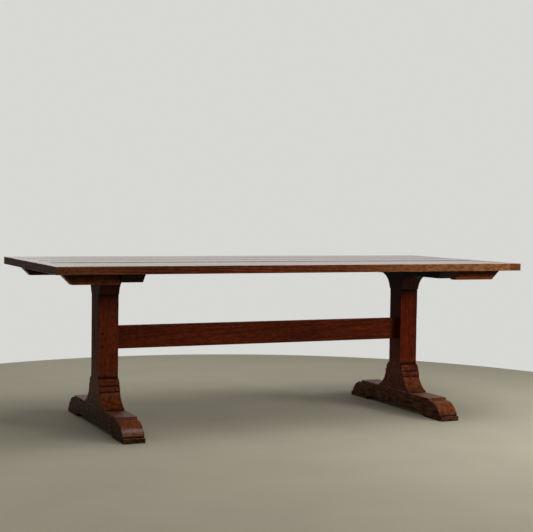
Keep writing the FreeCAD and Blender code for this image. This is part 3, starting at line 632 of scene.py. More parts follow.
def painted_floor(colour_value):
    """Matt painted board: plain, with a faint mottle. From below it is clear, so the table shows."""
    material, add = new_material("painted_board_floor")
    mottle = pattern(add, 1, "Z", FLOOR_MOTTLE, (0.3, 0.7), (0.96, 1.03), 3.0)
    straight = add("LightPath", output="Is Camera Ray")
    bounce = add("MapRange", {"Value": straight, "To Min": FLOOR_BOUNCE})
    level = add("Math", {0: mottle, 1: bounce}, operation="MULTIPLY")
    tint = add("VectorMath", {0: colour_value[:3], "Scale": level}, operation="SCALE")
    shader = add("BsdfPrincipled", {
        "Base Color": tint, "Roughness": 0.85, "Specular IOR Level": 0.25})
    from_below = add("NewGeometry", output="Backfacing")
    shown = add("MixShader", {0: from_below, 1: shader, 2: add("BsdfTransparent")})
    add("OutputMaterial", {"Surface": shown})
    return material


def lit_backdrop(colour_value):
    """A plain wall, evenly lit. It shows only to the camera and only from inside the studio."""
    material, add = new_material("lit_backdrop_wall")
    glow = add("Emission", {"Color": colour_value, "Strength": 1.0})
    behind = add("NewGeometry", output="Backfacing")
    straight = add("LightPath", output="Is Camera Ray")
    seen = add("Math", {0: straight, 1: behind}, operation="SUBTRACT", use_clamp=True)
    shown = add("MixShader", {0: seen, 1: add("BsdfTransparent"), 2: glow})
    add("OutputMaterial", {"Surface": shown})
    return material


# ---- The top ----
BOARDS = ("top_board_front", "top_board_second", "top_board_third", "top_board_back")
TONGUE_HALF = 4.5 * MM          # tongue along a board's back edge, half its thickness
TONGUE_DEPTH = 10 * MM
GROOVE_ROOM = 0.2 * MM          # round that tongue in the next board's groove
END_TONGUE_HALF = 6 * MM        # tongue across a board's end, half its thickness
END_TONGUE_SETBACK = 35 * MM    # from the top's long edges
LOWER_EASE = 1.5 * MM
TOP_ARRIS = 3 * MM
FRONT_ARRIS = 1.9 * MM          # sharper along the front edge
TIP_ARRIS = TOP_ARRIS * 1.2     # of a breadboard end
TIP = 8 * MM                    # of a breadboard end, left to the rings that round its corner
JOINT_UNDERSIDE = 0.4 * MM      # ease of a board's lower arris at a joint
GROOVE_REST = 1.5 * MM          # room past a tongue's edge at the bottom of its groove
SKIN = 5 * MM                   # depth below the top's upper face that follows the planing
BOARD_DIPS = (1.3 * MM, 0.6 * MM, 0.5 * MM, 0)  # how far each board's back edge has dropped
ROOTED = 1 * MM                 # how far an added tongue or tenon starts inside its piece
PEG_ROOM = 0.25 * MM            # round a square peg in its hole
PEG_CORNER = 0.22               # cut off a peg's corners, of half its width
PAST_PEG = 5 * MM               # how far a cutter goes past a peg's ends
FIT = 0.2 * MM                  # room round a tongue or tenon


def joint_of(side):
    """Where the boards' shoulders meet a breadboard end, along the table."""
    low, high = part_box("breadboard_end_left" if side < 0 else "breadboard_end_right")
    return high.x if side < 0 else low.x


def board_faces(node):
    """Front and back face of a board, without its tongue."""
    index = BOARDS.index(node)
    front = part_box(node)[0].y
    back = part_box(BOARDS[index + 1])[0].y if index + 1 < len(BOARDS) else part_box(node)[1].y
    return front, back


def hand_planed(place, seed, depth):
    """A point of the top's upper face, lowered by the slight hollows that planing leaves."""
    x, y, z = place
    waves = uneven((x * 0.45, y, 0), 85 * MM, seed) * 0.6 + uneven((x * 0.3, y, 1), 33 * MM, seed) * 0.4
    return (x, y, z - depth * (0.5 + 0.5 * max(-1, min(1, 1.6 * waves))))


def make_board(node, material, seed):
    """A board of the top: tongued and grooved, eased at its joints and planed by hand."""
    sizes = bpy.context.scene.trestle_sizes
    front, back = board_faces(node)
    low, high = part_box(node)
    under, over = low.z, high.z
    middle = (under + over) / 2
    is_first, is_last = node == BOARDS[0], node == BOARDS[-1]
    tip = back + TONGUE_DEPTH
    tongue = [(back, middle - TONGUE_HALF), (tip, middle - TONGUE_HALF),
              (tip, middle + TONGUE_HALF), (back, middle + TONGUE_HALF)]
    slack = TONGUE_HALF + GROOVE_ROOM
    depth = front + TONGUE_DEPTH + GROOVE_REST
    groove = [(front, middle + slack), (depth, middle + slack),
              (depth, middle - slack), (front, middle - slack)]
    section = Section((front, under), (back, over), () if is_last else tongue,
                      () if is_first else groove)

    left, right = joint_of(-1), joint_of(1)
    stations = []
    for along in steps(left, right, STATION_STEP):
        rub = rubbed((along, front, 0), seed)
        far_rub = rubbed((along, back, 0), seed + 1)
        joint = sizes.joint_ease * (0.75 + 0.5 * rub)
        eases = (LOWER_EASE if is_first else JOINT_UNDERSIDE,
                 LOWER_EASE if is_last else JOINT_UNDERSIDE,
                 TOP_ARRIS * (0.7 + 0.4 * far_rub) if is_last else joint,
                 FRONT_ARRIS * (0.7 + 0.4 * rub) if is_first else joint)
        wears = (0.2 if is_first else 0, 0.2 if is_last else 0,
                 far_rub * 0.8 if is_last else -1, rub * 0.8 if is_first else -1)
        stations.append((along, section.ring(eases, wears)))
    dip = BOARD_DIPS[BOARDS.index(node)]

    def place(along, across, up):
        spot = (along, across, up)
        if up < over - SKIN:
            return spot
        x, y, z = hand_planed(spot, seed, sizes.undulation)
        return (x, y, z - dip * (across - front) / (back - front))

    shell, wear = straight_bar(stations, place)
    piece = mesh_piece(node, shell, material, wear)
    near = front + (END_TONGUE_SETBACK if is_first else GROOVE_ROOM)
    far = back - (END_TONGUE_SETBACK if is_last else GROOVE_ROOM)
    carve(piece, [block((start, near, middle - END_TONGUE_HALF), (end, far, middle + END_TONGUE_HALF))
                  for start, end in ((left + ROOTED, low.x), (right - ROOTED, high.x))], "UNION")
    carve(piece, peg_holes("breadboard_pegs_left", "Z", front, back)
          + peg_holes("breadboard_pegs_right", "Z", front, back))
    finish_surface(piece)


def peg_holes(node, axis, front=-math.inf, back=math.inf):
    """Cutters for the square holes of a node's pegs, those between two distances across."""
    return [widened(low, high, PEG_ROOM, axis, PAST_PEG)
            for low, high in solids_of(node) if front < (low.y + high.y) / 2 < back]


def make_breadboard(name, side, material, seed):
    """A breadboard end: eased on its three outer sides, tight to the boards on the fourth."""
    sizes = bpy.context.scene.trestle_sizes
    node = "breadboard_end_" + name
    low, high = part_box(node)
    joint = joint_of(side)
    width = high.x - low.x
    section = Section((0, low.z), (width, high.z))
    stations = []
    for number in range(ARRIS_RINGS + 1):
        stations.append(end_station(section, low, high, number / ARRIS_RINGS, -1, seed))
    for along in steps(low.y + TIP, high.y - TIP, STATION_STEP):
        stations.append((along, breadboard_ring(section, along, seed)))
    for number in range(ARRIS_RINGS, -1, -1):
        stations.append(end_station(section, low, high, number / ARRIS_RINGS, 1, seed))

    def place(along, across, up):
        spot = (joint + side * across, along, up)
        return hand_planed(spot, seed, sizes.undulation) if up > high.z - SKIN else spot

    shell, wear = straight_bar(stations, place)
    piece = mesh_piece(node, shell, material, wear)
    middle = (low.z + high.z) / 2
    tongue_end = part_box(BOARDS[0])[0 if side < 0 else 1].x + side * GROOVE_REST
    stop = high.y - END_TONGUE_SETBACK + GROOVE_REST
    groove = block((tongue_end, -stop, middle - END_TONGUE_HALF - FIT),
                   (joint - side * MM, stop, middle + END_TONGUE_HALF + FIT))
    carve(piece, [groove, *peg_holes("breadboard_pegs_" + name, "Z")])
    finish_surface(piece)


def breadboard_ring(section, along, seed):
    """The section of a breadboard end at one place."""
    sizes = bpy.context.scene.trestle_sizes
    rub = rubbed((along, 0, 1), seed)
    return section.ring(
        (JOINT_UNDERSIDE, LOWER_EASE, TOP_ARRIS * (0.7 + 0.5 * rub), sizes.joint_ease),
        (0, 0.2, 0.8 * rub, 0.1))


def end_station(section, low, high, share, side, seed):
    """A section near a breadboard end's tip, where its upper arris and its corner are eased."""
    angle = share * math.pi / 2
    lost = TIP_ARRIS * (1 - math.sin(angle))
    half = (high.y - low.y) / 2
    along = side * (half - TIP_ARRIS * (1 - math.cos(angle)))
    ring = breadboard_ring(section, along, seed)
    inner = [(min(across, section.high.x - lost), min(max(up, section.low.y + lost / 2),
             section.high.y - lost), worn) for across, up, worn in ring]
    return along, [(across, up, max(worn, 0.8 * math.sin(2 * angle))) for across, up, worn in inner]


def solids_of(node):
    """Lowest and highest corner of each separate solid of a CAD node, in metres."""
    mesh = bmesh.new()
    mesh.from_mesh(frame["nodes"][node].data)
    bmesh.ops.remove_doubles(mesh, verts=mesh.verts, dist=1e-5)
    waiting, boxes = set(mesh.verts), []
    while waiting:
        edge_of_group, group = [waiting.pop()], []
        while edge_of_group:
            vertex = edge_of_group.pop()
            group.append(vertex.co.copy())
            for edge in vertex.link_edges:
                other = edge.other_vert(vertex)
                if other in waiting:
                    waiting.remove(other)
                    edge_of_group.append(other)
        boxes.append(tuple(Vector([pick(point[axis] for point in group) for axis in range(3)])
                           for pick in (min, max)))
    mesh.free()
    return sorted(boxes, key=lambda pair: tuple(round(value, 5) for value in pair[0]))


def widened(low, high, room, axis, past):
    """A cutting block round a solid: a little wider than it, and longer along one axis."""
    margin = Vector([past if AXES[axis] == number else room for number in range(3)])
    return block(low - margin, high + margin)


def make_pegs(node, axis, material, seed):
    """Square pegs, split and pared by hand: each a little off square, with domed, pared ends."""
    shells = [pared_peg(low, high, AXES[axis], seed + number)
              for number, (low, high) in enumerate(solids_of(node))]
    finish_surface(mesh_piece(node, joined(shells), material), SMALL_CREASE)


def pared_peg(low, high, axis, seed):
    """One peg's shell: an eight-sided square section with slightly domed ends."""
    middle, half = (low + high) / 2, (high - low) / 2
    first, second = [number for number in range(3) if number != axis]
    cut = 1 - PEG_CORNER
    section = ((1, -cut), (1, cut), (cut, 1), (-cut, 1), (-1, cut), (-1, -cut), (-cut, -1), (cut, -1))
    rings = []
    for along, shrink in ((-1, 0.35), (-0.994, 0.82), (-0.985, 0.98), (0.985, 0.98),
                          (0.994, 0.82), (1, 0.35)):
        ring = []
        for number, (across, up) in enumerate(section):
            uneven_cut = 1 - 0.06 * (0.5 + 0.5 * math.sin(seed * 5.1 + number * 2.3))
            spot = middle.copy()
            spot[axis] += along * half[axis]
            spot[first] += across * half[first] * shrink * uneven_cut
            spot[second] += up * half[second] * shrink * uneven_cut
            ring.append(spot)
        rings.append(ring)
    return loft(rings)


# ---- Bearers, battens and screws ----
BEVEL = 36                      # run and rise of the bearers' 45 degree bevels, in millimetres
BATTEN_BEVEL = 44
RAIL_EASE = 1 * MM
TENON_HALF = 18 * MM
HEAD_TENON_HALF = 75 * MM
FOOT_TENON_HALF = 100 * MM
RAIL_TENON_HALF = 9 * MM
RAIL_TENON_SHOULDER = 5 * MM
SCREW_ROOM = 0.1 * MM           # round a screw in its seat
SCREW_MOUTH = 0.5 * MM          # how much wider a countersink's mouth is, and how far outside
CUTTER_SIDES = 24


def countersinks(node):
    """Cutters for the seats of a node's screws: a cone at the head and a hole for the shank."""
    cutters = []
    for low, high in solids_of(node):
        head = (high.x - low.x) / 2
        shank = head / 2 + SCREW_ROOM
        levels = ((head + SCREW_MOUTH, -SCREW_MOUTH), (head + SCREW_ROOM, SCREW_ROOM),
                  (shank, shank), (shank, high.z - low.z))
        rings = [circle((low + high) / 2, radius, low.z + up, CUTTER_SIDES) for radius, up in levels]
        cutters.append(loose_mesh("cutter", *loft(rings)))
    return cutters


def moulded_piece(node, corners, ease, axis, place, material, seed):
    """A piece with one outline all along an axis, and worn arrises along its two flat sides."""
    low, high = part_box(node)
    half = (high[AXES[axis]] - low[AXES[axis]]) / 2
    arris = bpy.context.scene.trestle_sizes.arris
    shell, wear = moulded_bar(outline_points(corners, ease), half, arris, place, seed)
    return mesh_piece(node, shell, material, wear)


def rising_from(x, base):
    """The place of a bar that lies across the table at x, its outline drawn upwards from base."""
    return lambda lateral, across, up: (x + lateral, across, base + up)


def tenon_block(x, half_depth, bottom, top, room=0):
    """A block for a post's tenon at x, or with room round it for the mortise."""
    return block((x - TENON_HALF - room, -half_depth - room, bottom),
                 (x + TENON_HALF + room, half_depth + room, top))


def make_bearer(name, material, seed):
    """A bearer across the head of a post, bevelled at both ends."""
    node = "bearer_" + name
    low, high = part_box(node)
    middle = (low + high) / 2
    half, height = (high.y - low.y) / 2 / MM, (high.z - low.z) / MM
    corners = mirrored([(0, 0), (half - BEVEL, 0), (half, BEVEL), (half, height), (0, height)])
    piece = moulded_piece(node, corners, RAIL_EASE, "X", rising_from(middle.x, low.z), material, seed)
    mortise = tenon_block(middle.x, HEAD_TENON_HALF, low.z - MM, high.z + MM, FIT)
    carve(piece, [mortise, *countersinks("bearer_screws_" + name)])
    finish_surface(piece)


def make_batten(name, side, face_name, material, seed):
    """A batten under an overhang of the top, bevelled at its outer end."""
    node = "batten_%s_%s" % (face_name, name)
    low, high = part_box(node)
    middle = (low + high) / 2
    inner = low.x if side > 0 else high.x
    reach, height = (high.x - low.x) / MM, (high.z - low.z) / MM
    corners = [(0, 0), (reach - BATTEN_BEVEL, 0), (reach, BATTEN_BEVEL), (reach, height), (0, height)]

    def place(lateral, across, up):
        return (inner + side * across, middle.y + lateral, low.z + up)

    piece = moulded_piece(node, corners, RAIL_EASE, "Y", place, material, seed)
    carve(piece, countersinks("batten_screws_" + name))
    finish_surface(piece)


def make_screws(node, material, seed):
    """Countersunk wood screws with a slotted head, a plain shank and a thread to the point."""
    width = bpy.context.scene.trestle_sizes.screw_slot
    shells, slots = [], []
    for number, (low, high) in enumerate(solids_of(node)):
        middle = (low + high) / 2
        head = (high.x - low.x) / 2
        shells.append(threaded_screw(middle, low.z, high.z, head))
        slots.append(turned_slot(middle, low.z, head, width, seed + number))
    piece = mesh_piece(node, joined(shells), material)
    carve(piece, slots)
    finish_surface(piece, SMALL_CREASE)


THREAD_PITCH = 2.2 * MM
THREAD_SHARE = 0.55             # how much of a screw is threaded
THREAD_DEPTH = 0.24             # of the shank's radius
GIMLET = 7 * MM                 # length of the point
SCREW_PLAY = 0.94               # of the solid's radius, so that a screw stays inside its own solid
HEAD_RIM = 0.35 * MM
SLOT_DEPTH = 1.3 * MM
SLOT_PAST = 0.5 * MM            # how far the slot's cutter stands out of the head
SCREW_SIDES = 20


def threaded_screw(middle, bottom, top, head):
    """One screw's shell: head, shank and a helical thread that runs out at the gimlet point."""
    shank = head / 2 * SCREW_PLAY
    whole = top - bottom
    levels = [(0.0, head * SCREW_PLAY), (HEAD_RIM, head * 0.99), (head - shank + HEAD_RIM, shank)]
    threaded_from = whole * (1 - THREAD_SHARE)
    levels += [(level, shank) for level in steps(head, threaded_from, 6 * MM)]
    levels += [(level, None) for level in steps(threaded_from, whole, THREAD_PITCH / 5)[1:]]
    rings = []
    for level, radius in levels:
        ring = []
        for angle in steps(0, 2 * math.pi, 2 * math.pi / SCREW_SIDES)[:-1]:
            reach = radius
            if reach is None:
                taper = min(1, (whole - level) / GIMLET) ** 0.6
                turn = (level / THREAD_PITCH - angle / (2 * math.pi)) % 1
                crest = 1 - min(1, 3.2 * min(turn, 1 - turn))
                reach = shank * (1 - THREAD_DEPTH * (1 - crest)) * max(taper, 0.06)
            ring.append((middle.x + reach * math.cos(angle), middle.y + reach * math.sin(angle),
                         bottom + level))
        rings.append(ring)
    return loft(rings)


def turned_slot(middle, bottom, head, width, seed):
    """A cutter for a screw's slot, turned to where the driver left it."""
    turn = Matrix.Rotation(seed * 1.31, 3, "Z")
    rings = []
    for up in (-SLOT_PAST, SLOT_DEPTH):
        ring = []
        for across, along in ((-1, -1), (1, -1), (1, 1), (-1, 1)):
            spot = turn @ Vector((across * width / 2, along * head * 1.1, 0))
            ring.append((middle.x + spot.x, middle.y + spot.y, bottom + up))
        rings.append(ring)
    return loose_mesh("cutter", *loft(rings))


# ---- Posts, feet, stretcher, pegs and wedges ----
# right half of the post's side view, from the shoulder on the foot, in millimetres
POST_HALF = [
    (0, 0), (153, 0), (153, 7),
    (150, 7, -1, 114), (88, 72),                    # the hollow sweep
    (88, 95), (79, 99), (79, 115),                  # two upright bands and the ledge between
    (76, 115, 1, 24), (59, 131), (54, 135),         # the round shoulder
    (54, 512), (62, 517, -1, 87), (128, 586),       # the shaft and the cove of the head
    (128, 590), (0, 590),
]
# right half of the foot's side view, from the floor, in millimetres
FOOT_HALF = [
    (0, 18), (267, 18, -1, 18), (285, 0), (450, 0),             # the relief and the pad
    (450, 22), (433, 22), (433, 25.8),                          # the toe and the quirk
    (438, 27, 1, 120), (368, 83),                               # the quarter round
    (352, 83, -1, 22), (333, 92), (333, 95), (0, 95),           # the step and its hollow slope
]
MOULDING_EASE = 1.1 * MM
TENON_OVERLAP = 20 * MM         # how far a post's tenon starts inside the post
PAST_WEDGE = 2 * MM             # how far a kerf's cutter goes past the wedge's sides


def make_post(name, material, seed):
    """A moulded post with a wedged tenon at both ends and the stretcher's mortise."""
    node = "post_" + name
    low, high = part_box(node)
    middle = (low + high) / 2
    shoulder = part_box("foot_" + name)[1].z
    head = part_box("bearer_" + name)[0].z
    place = rising_from(middle.x, shoulder)
    piece = moulded_piece(node, mirrored(POST_HALF), MOULDING_EASE, "X", place, material, seed)
    carve(piece, [
        tenon_block(middle.x, HEAD_TENON_HALF, head - TENON_OVERLAP, high.z),
        tenon_block(middle.x, FOOT_TENON_HALF, low.z, shoulder + TENON_OVERLAP)], "UNION")
    rail_low, rail_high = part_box("stretcher")
    mortise = block(
        (low.x - MM, -RAIL_TENON_HALF - FIT, rail_low.z + RAIL_TENON_SHOULDER - FIT),
        (high.x + MM, RAIL_TENON_HALF + FIT, rail_high.z - RAIL_TENON_SHOULDER + FIT))
    kerfs = [widened(wedge_low, wedge_high, FIT, "X", PAST_WEDGE)
             for kind in ("head_wedges_", "foot_wedges_")
             for wedge_low, wedge_high in solids_of(kind + name)]
    carve(piece, [mortise, *peg_holes("stretcher_pegs_" + name, "Y"), *kerfs])
    finish_surface(piece)


def make_foot(name, material, seed):
    """A sledge foot with the mortise for its post."""
    node = "foot_" + name
    low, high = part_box(node)
    middle = (low + high) / 2
    place = rising_from(middle.x, 0)
    piece = moulded_piece(node, mirrored(FOOT_HALF), MOULDING_EASE, "X", place, material, seed)
    carve(piece, [tenon_block(middle.x, FOOT_TENON_HALF, low.z - MM, high.z + MM, FIT)])
    finish_surface(piece)


def make_stretcher(material, seed):
    """The rail between the posts, with a tenon at both ends."""
    low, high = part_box("stretcher")
    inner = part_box("post_right")[0].x
    section = Section((low.y, low.z), (high.y, high.z))
    stations = []
    for along in steps(-inner, inner, STATION_STEP):
        rubs = [rubbed((along, number, 0), seed + number) for number in range(4)]
        eases = [1.5 * MM * (0.6 + 0.5 * rub) for rub in rubs]
        stations.append((along, section.ring(eases, [0.3, 0.3, 0.9 * rubs[2], 0.9 * rubs[3]])))
    shell, wear = straight_bar(stations, lambda along, across, up: (along, across, up))
    piece = mesh_piece("stretcher", shell, material, wear)
    carve(piece, [block((start, -RAIL_TENON_HALF, low.z + RAIL_TENON_SHOULDER),
                        (end, RAIL_TENON_HALF, high.z - RAIL_TENON_SHOULDER))
                  for start, end in ((ROOTED - inner, low.x), (inner - ROOTED, high.x))], "UNION")
    carve(piece, [*peg_holes("stretcher_pegs_left", "Y"), *peg_holes("stretcher_pegs_right", "Y")])
    finish_surface(piece)


# ---- Stage: floor, backdrop, lamps and camera ----
FLOOR_RADIUS = 2.45             # metres, to where the floor meets the backdrop
COVE_RADIUS = 0.25
WALL_HEIGHT = 6.0
BACKDROP_SIDES = 128
FLOOR_LEVEL = -0.4 * MM         # just under the feet
FLOOR_BOUNCE = 0.27             # of the floor's colour, in the light that it throws on the table

# the camera's place and turn, and its focal length in pixels of a picture 533 wide
CAMERA_PLACE = (-2.36488, -5.22683, 1.00063)
CAMERA_YAW = 0.42755            # radians, from +Y towards +X
CAMERA_PITCH = 0.04694          # below the horizon
CAMERA_ROLL = -0.01403
FOCAL_PIXELS = 1184.07
PICTURE_WIDTH = 533
SENSOR_WIDTH = 36.0             # millimetres

# name, place, size across and up, power in watts, whether polished wood mirrors it
LAMPS = (
    ("key_softbox", (2.6, -2.3, 1.36), (1.3, 0.36), 37, False),
    ("overhead_softbox", (0.5, -0.7, 3.5), (3.0, 1.8), 48, True),
    ("fill_softbox", (-3.2, -2.9, 1.6), (1.8, 1.4), 5.5, False),
    ("back_softbox", (-1.2, 3.4, 2.6), (2.6, 1.0), 26, True),
    ("right_strip", (1.75, -2.0, 2.4), (0.65, 2.0), 12, False),
    ("left_strip", (-0.2, -2.0, 2.4), (0.3, 2.0), 0.7, True),
)
LAMP_AIM = (0, 0, 0.45)
AIR_STRENGTH = 0.27             # of the studio's dim air, on the object
WALL_STRENGTH = 1.0             # of the lit wall behind, as polished faces mirror it
# axis, and where along it the mirrored wall begins and is full, as part of a direction
WALL_REACH = (("X", -0.05, 0.18), ("Y", 0.15, 0.5), ("Z", 0.75, 0.35))


def make_stage():
    """A round floor that curves up into a wall."""
    colours = bpy.context.scene.trestle_colours
    profile = [(0.02, 0), (0.8, 0), (1.6, 0), (FLOOR_RADIUS, 0)]
    for angle in steps(0, math.pi / 2, math.radians(9))[1:]:
        profile.append((FLOOR_RADIUS + COVE_RADIUS * math.sin(angle),
                        COVE_RADIUS * (1 - math.cos(angle))))
    profile.append((FLOOR_RADIUS + COVE_RADIUS, WALL_HEIGHT))
    rings = [circle(Vector(), radius, FLOOR_LEVEL + up, BACKDROP_SIDES) for radius, up in profile]
    vertices, faces = loft(rings)
    sweep = loose_mesh("studio_sweep", vertices, faces[:-1])
    sweep.data.materials.append(painted_floor(colours.floor))
    sweep.data.materials.append(lit_backdrop(colours.backdrop))
    for face in sweep.data.polygons:
        face.material_index = 1 if Vector(face.center[:2]).length > FLOOR_RADIUS else 0
        face.use_smooth = True
    if sweep.data.polygons[0].normal.z < 0:
        sweep.data.flip_normals()
    sweep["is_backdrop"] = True


def make_lamps():
    """Soft lamps, turned to the middle of the table."""
    for name, place, (across, up), power, mirrored in LAMPS:
        light = bpy.data.lights.new(name, "AREA")
        light.shape = "RECTANGLE"
        light.size, light.size_y, light.energy = across, up, power
        lamp = bpy.data.objects.new(name, light)
        bpy.context.scene.collection.objects.link(lamp)
        lamp.location = place
        aim = Vector(LAMP_AIM) - lamp.location
        lamp.rotation_euler = aim.to_track_quat("-Z", "Y").to_euler()
        lamp.visible_camera = False
        lamp.visible_glossy = mirrored


def make_world():
    """Dim air all round, and the lit wall behind the table and to its right.

    The camera sees the plain backdrop colour everywhere.
    """
    colours = bpy.context.scene.trestle_colours
    world = bpy.data.worlds.new("studio_air")
    world.use_nodes = True
    world.node_tree.nodes.clear()
    add = partial(add_node, world.node_tree)
    direction = add("TexCoord", output="Generated")
    share = 1.0
    for axis, none, full in WALL_REACH:
        part = add("SeparateXYZ", {0: direction}, axis)
        ramp = add("MapRange", {"Value": part, "From Min": none, "From Max": full})
        share = add("Math", {0: share, 1: ramp}, operation="MULTIPLY")
    air = add("Background", {"Color": colours.air, "Strength": AIR_STRENGTH})
    wall = add("Background", {"Color": colours.backdrop, "Strength": WALL_STRENGTH})
    seen = add("Background", {"Color": colours.backdrop, "Strength": 1.0})
    lit = add("MixShader", {0: share, 1: air, 2: wall})
    straight = add("LightPath", output="Is Camera Ray")
    add("OutputWorld", {"Surface": add("MixShader", {0: straight, 1: lit, 2: seen})})
    bpy.context.scene.world = world


def make_camera():
    """The camera, placed and turned as the constants above say."""
    yaw, pitch, roll = CAMERA_YAW, CAMERA_PITCH, CAMERA_ROLL
    forward = Vector((math.sin(yaw) * math.cos(pitch), math.cos(yaw) * math.cos(pitch),
                      -math.sin(pitch)))
    level = Vector((math.cos(yaw), -math.sin(yaw), 0))
    down = forward.cross(level)
    right = level * math.cos(roll) + down * math.sin(roll)
    up = level * math.sin(roll) - down * math.cos(roll)
    turn = Matrix((right, up, -forward)).transposed().to_4x4()
    lens = bpy.data.cameras.new("camera")
    lens.sensor_fit = "HORIZONTAL"
    lens.sensor_width = SENSOR_WIDTH
    lens.lens = FOCAL_PIXELS * SENSOR_WIDTH / PICTURE_WIDTH
    camera = bpy.data.objects.new("camera", lens)
    bpy.context.scene.collection.objects.link(camera)
    camera.matrix_world = Matrix.Translation(CAMERA_PLACE) @ turn
    bpy.context.scene.camera = camera


# ---- Operators: one for each piece or group of like pieces, and one for the stage ----
POST_AT = 0.793                 # metres from the middle of the table to the middle of a post
# each board came from another part of the tree, so its rings curve another way
BOARD_PITHS = ((0, -0.36, 0.56), (0, 0.02, 0.60), (0, 0.16, 0.93), (0, 0.43, 0.58))
BOARD_TONES = (0.92, 0.86, 1.0, 0.92)
# how pale the front board's front edge is made, partly bleaching and partly painted light
FRONT_BOARD_FADE_AND_LIGHT = 0.8


class TRESTLE_OT_stage(bpy.types.Operator):
    """Makes the plain pale floor and backdrop, the soft lamps and the camera"""

    bl_idname = "trestle.stage"
    bl_label = "Stage, lamps and camera"

    def execute(self, context):
        context.scene.view_settings.view_transform = "Standard"
        make_stage()
        make_lamps()
        make_world()
        make_camera()
        return {"FINISHED"}


class TRESTLE_OT_boards(bpy.types.Operator):
    """Dresses the four jointed boards of the top"""

    bl_idname = "trestle.boards"
    bl_label = "Boards"

    def execute(self, context):
        for number, node in enumerate(BOARDS):
            material = varnished_hardwood(
                node, "X", 2 + number, BOARD_PITHS[number], tone=BOARD_TONES[number], redness=0.1,
                polish=1.0, fade_and_light=0.0 if number else FRONT_BOARD_FADE_AND_LIGHT)
            make_board(node, material, 11 + number)
        return {"FINISHED"}


class TRESTLE_OT_breadboard_ends(bpy.types.Operator):
    """Dresses the two breadboard ends"""

    bl_idname = "trestle.breadboard_ends"
    bl_label = "Breadboard ends"

    def execute(self, context):
        for number, (name, side) in enumerate(SIDES):
            material = varnished_hardwood(
                "breadboard_end_" + name, "Y", 7 + number, (side * 1.34, 0, 0.70),
                tone=1.2 - 0.1 * number, redness=0.15 + 0.25 * number, polish=1.0,
                fade_and_light=0.9 - 0.5 * number)
            make_breadboard(name, side, material, 21 + number)
        return {"FINISHED"}


class TRESTLE_OT_pegs(bpy.types.Operator):
    """Dresses the square pegs of the breadboard ends and of the stretcher"""

    bl_idname = "trestle.pegs"
    bl_label = "Pegs"

    def execute(self, context):
        for number, (name, side) in enumerate(SIDES):
            for kind, axis, pith in (("breadboard_pegs_", "Z", (side * 1.1, 0.02, 0)),
                                     ("stretcher_pegs_", "Y", (side * 0.82, 0, 0.39))):
                node = kind + name
                material = varnished_hardwood(node, axis, 31 + number, pith, tone=0.6)
                make_pegs(node, axis, material, 31 + number)
        return {"FINISHED"}


class TRESTLE_OT_bearers(bpy.types.Operator):
    """Dresses the two bearers under the top"""

    bl_idname = "trestle.bearers"
    bl_label = "Bearers"

    def execute(self, context):
        for number, (name, side) in enumerate(SIDES):
            # painted shade: the bearers get a very dark tone for the shade that lies on them under the
            # top
            material = varnished_hardwood(
                "bearer_" + name, "Y", 41 + number, (side * 0.75, 0, 0.60), tone=0.3)
            make_bearer(name, material, 41 + number)
        return {"FINISHED"}


class TRESTLE_OT_battens(bpy.types.Operator):
    """Dresses the four battens under the overhangs"""

    bl_idname = "trestle.battens"
    bl_label = "Battens"

    def execute(self, context):
        for number, (name, side) in enumerate(SIDES):
            for step, (face_name, face) in enumerate(FACES):
                seed = 45 + 2 * number + step
                # painted light: the battens' tone is raised against the painted shade under the top,
                # and more on the right, as if light fell on them from the right
                material = varnished_hardwood(
                    "batten_%s_%s" % (face_name, name), "X", seed, (0, face * 0.30, 0.64),
                    tone=2.2 + 1.2 * number, redness=0.0)
                make_batten(name, side, face_name, material, seed)
        return {"FINISHED"}


class TRESTLE_OT_screws(bpy.types.Operator):
    """Makes the slotted wood screws that hold the top"""

    bl_idname = "trestle.screws"
    bl_label = "Screws"

    def execute(self, context):
        for number, (name, _) in enumerate(SIDES):
            for kind in ("bearer_screws_", "batten_screws_"):
                node = kind + name
                make_screws(node, turned_steel(node, 51 + number), 51 + number)
        return {"FINISHED"}


class TRESTLE_OT_posts(bpy.types.Operator):
    """Dresses the two moulded posts"""

    bl_idname = "trestle.posts"
    bl_label = "Posts"

    def execute(self, context):
        for number, (name, side) in enumerate(SIDES):
            material = varnished_hardwood(
                "post_" + name, "Z", 61 + number, (side * POST_AT + 0.05, 0.11, 0),
                tone=1.08 - 0.33 * number, redness=0.4 + 0.3 * number)
            make_post(name, material, 61 + number)
        return {"FINISHED"}


class TRESTLE_OT_feet(bpy.types.Operator):
    """Dresses the two sledge feet"""

    bl_idname = "trestle.feet"
    bl_label = "Feet"

    def execute(self, context):
        for number, (name, side) in enumerate(SIDES):
            material = varnished_hardwood(
                "foot_" + name, "Y", 71 + number, (side * POST_AT + 0.02, 0, -0.07),
                tone=0.9, redness=0.35)
            make_foot(name, material, 71 + number)
        return {"FINISHED"}


class TRESTLE_OT_stretcher(bpy.types.Operator):
    """Dresses the rail between the posts"""

    bl_idname = "trestle.stretcher"
    bl_label = "Stretcher"

    def execute(self, context):
        material = varnished_hardwood(
            "stretcher", "X", 81, (0, 0.07, 0.39), tone=0.85, redness=0.5)
        make_stretcher(material, 81)
        return {"FINISHED"}


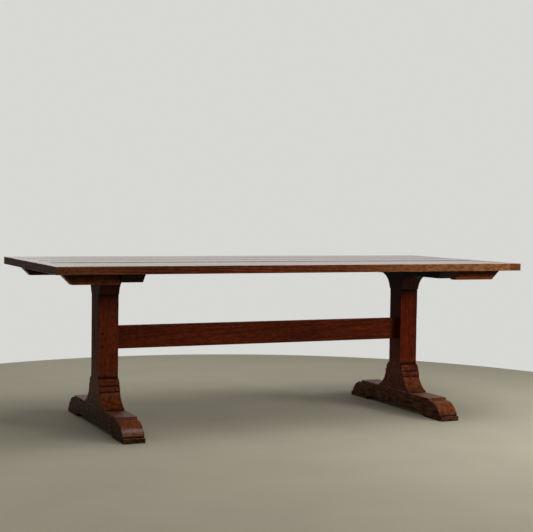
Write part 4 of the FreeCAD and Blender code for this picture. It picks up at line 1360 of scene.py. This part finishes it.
class TRESTLE_OT_wedges(bpy.types.Operator):
    """Gives the tenons' wedges their wood"""

    bl_idname = "trestle.wedges"
    bl_label = "Wedges"

    def execute(self, context):
        for number, (name, side) in enumerate(SIDES):
            for kind in ("head_wedges_", "foot_wedges_"):
                node = kind + name
                material = varnished_hardwood(
                    node, "Z", 91 + number, (side * 0.79, 0.03, 0), tone=0.7)
                wedge = frame["nodes"][node]
                wedge.data.materials.clear()
                wedge.data.materials.append(material)
        return {"FINISHED"}


class TRESTLE_PT_panel(bpy.types.Panel):
    """Lists the sizes, the colours and the operators that make each piece"""

    bl_label = "Trestle table"
    bl_idname = "TRESTLE_PT_panel"
    bl_space_type = "VIEW_3D"
    bl_region_type = "UI"
    bl_category = "Trestle table"

    def draw(self, context):
        for group in (context.scene.trestle_sizes, context.scene.trestle_colours):
            column = self.layout.column(align=True)
            for name in group.__annotations__:
                column.prop(group, name)
        column = self.layout.column()
        for operator in OPERATORS:
            column.operator(operator.bl_idname)


OPERATORS = (
    TRESTLE_OT_stage, TRESTLE_OT_boards, TRESTLE_OT_breadboard_ends, TRESTLE_OT_pegs,
    TRESTLE_OT_bearers, TRESTLE_OT_battens, TRESTLE_OT_screws, TRESTLE_OT_posts,
    TRESTLE_OT_feet, TRESTLE_OT_stretcher, TRESTLE_OT_wedges,
)
GROUPS = (TrestleColours, TrestleSizes)


def register():
    for kind in (*GROUPS, *OPERATORS, TRESTLE_PT_panel):
        bpy.utils.register_class(kind)
    bpy.types.Scene.trestle_colours = bpy.props.PointerProperty(type=TrestleColours)
    bpy.types.Scene.trestle_sizes = bpy.props.PointerProperty(type=TrestleSizes)


def unregister():
    del bpy.types.Scene.trestle_sizes
    del bpy.types.Scene.trestle_colours
    for kind in (TRESTLE_PT_panel, *reversed(OPERATORS), *reversed(GROUPS)):
        bpy.utils.unregister_class(kind)


def main():
    register()
    for operator in OPERATORS:
        group, name = operator.bl_idname.split(".")
        getattr(getattr(bpy.ops, group), name)()
    boxes = {"cad": CAD_BOX, "visual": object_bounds()}
    {name: [list(low), list(high)] for name, (low, high) in boxes.items()}


if __name__ == "__main__":
    main()
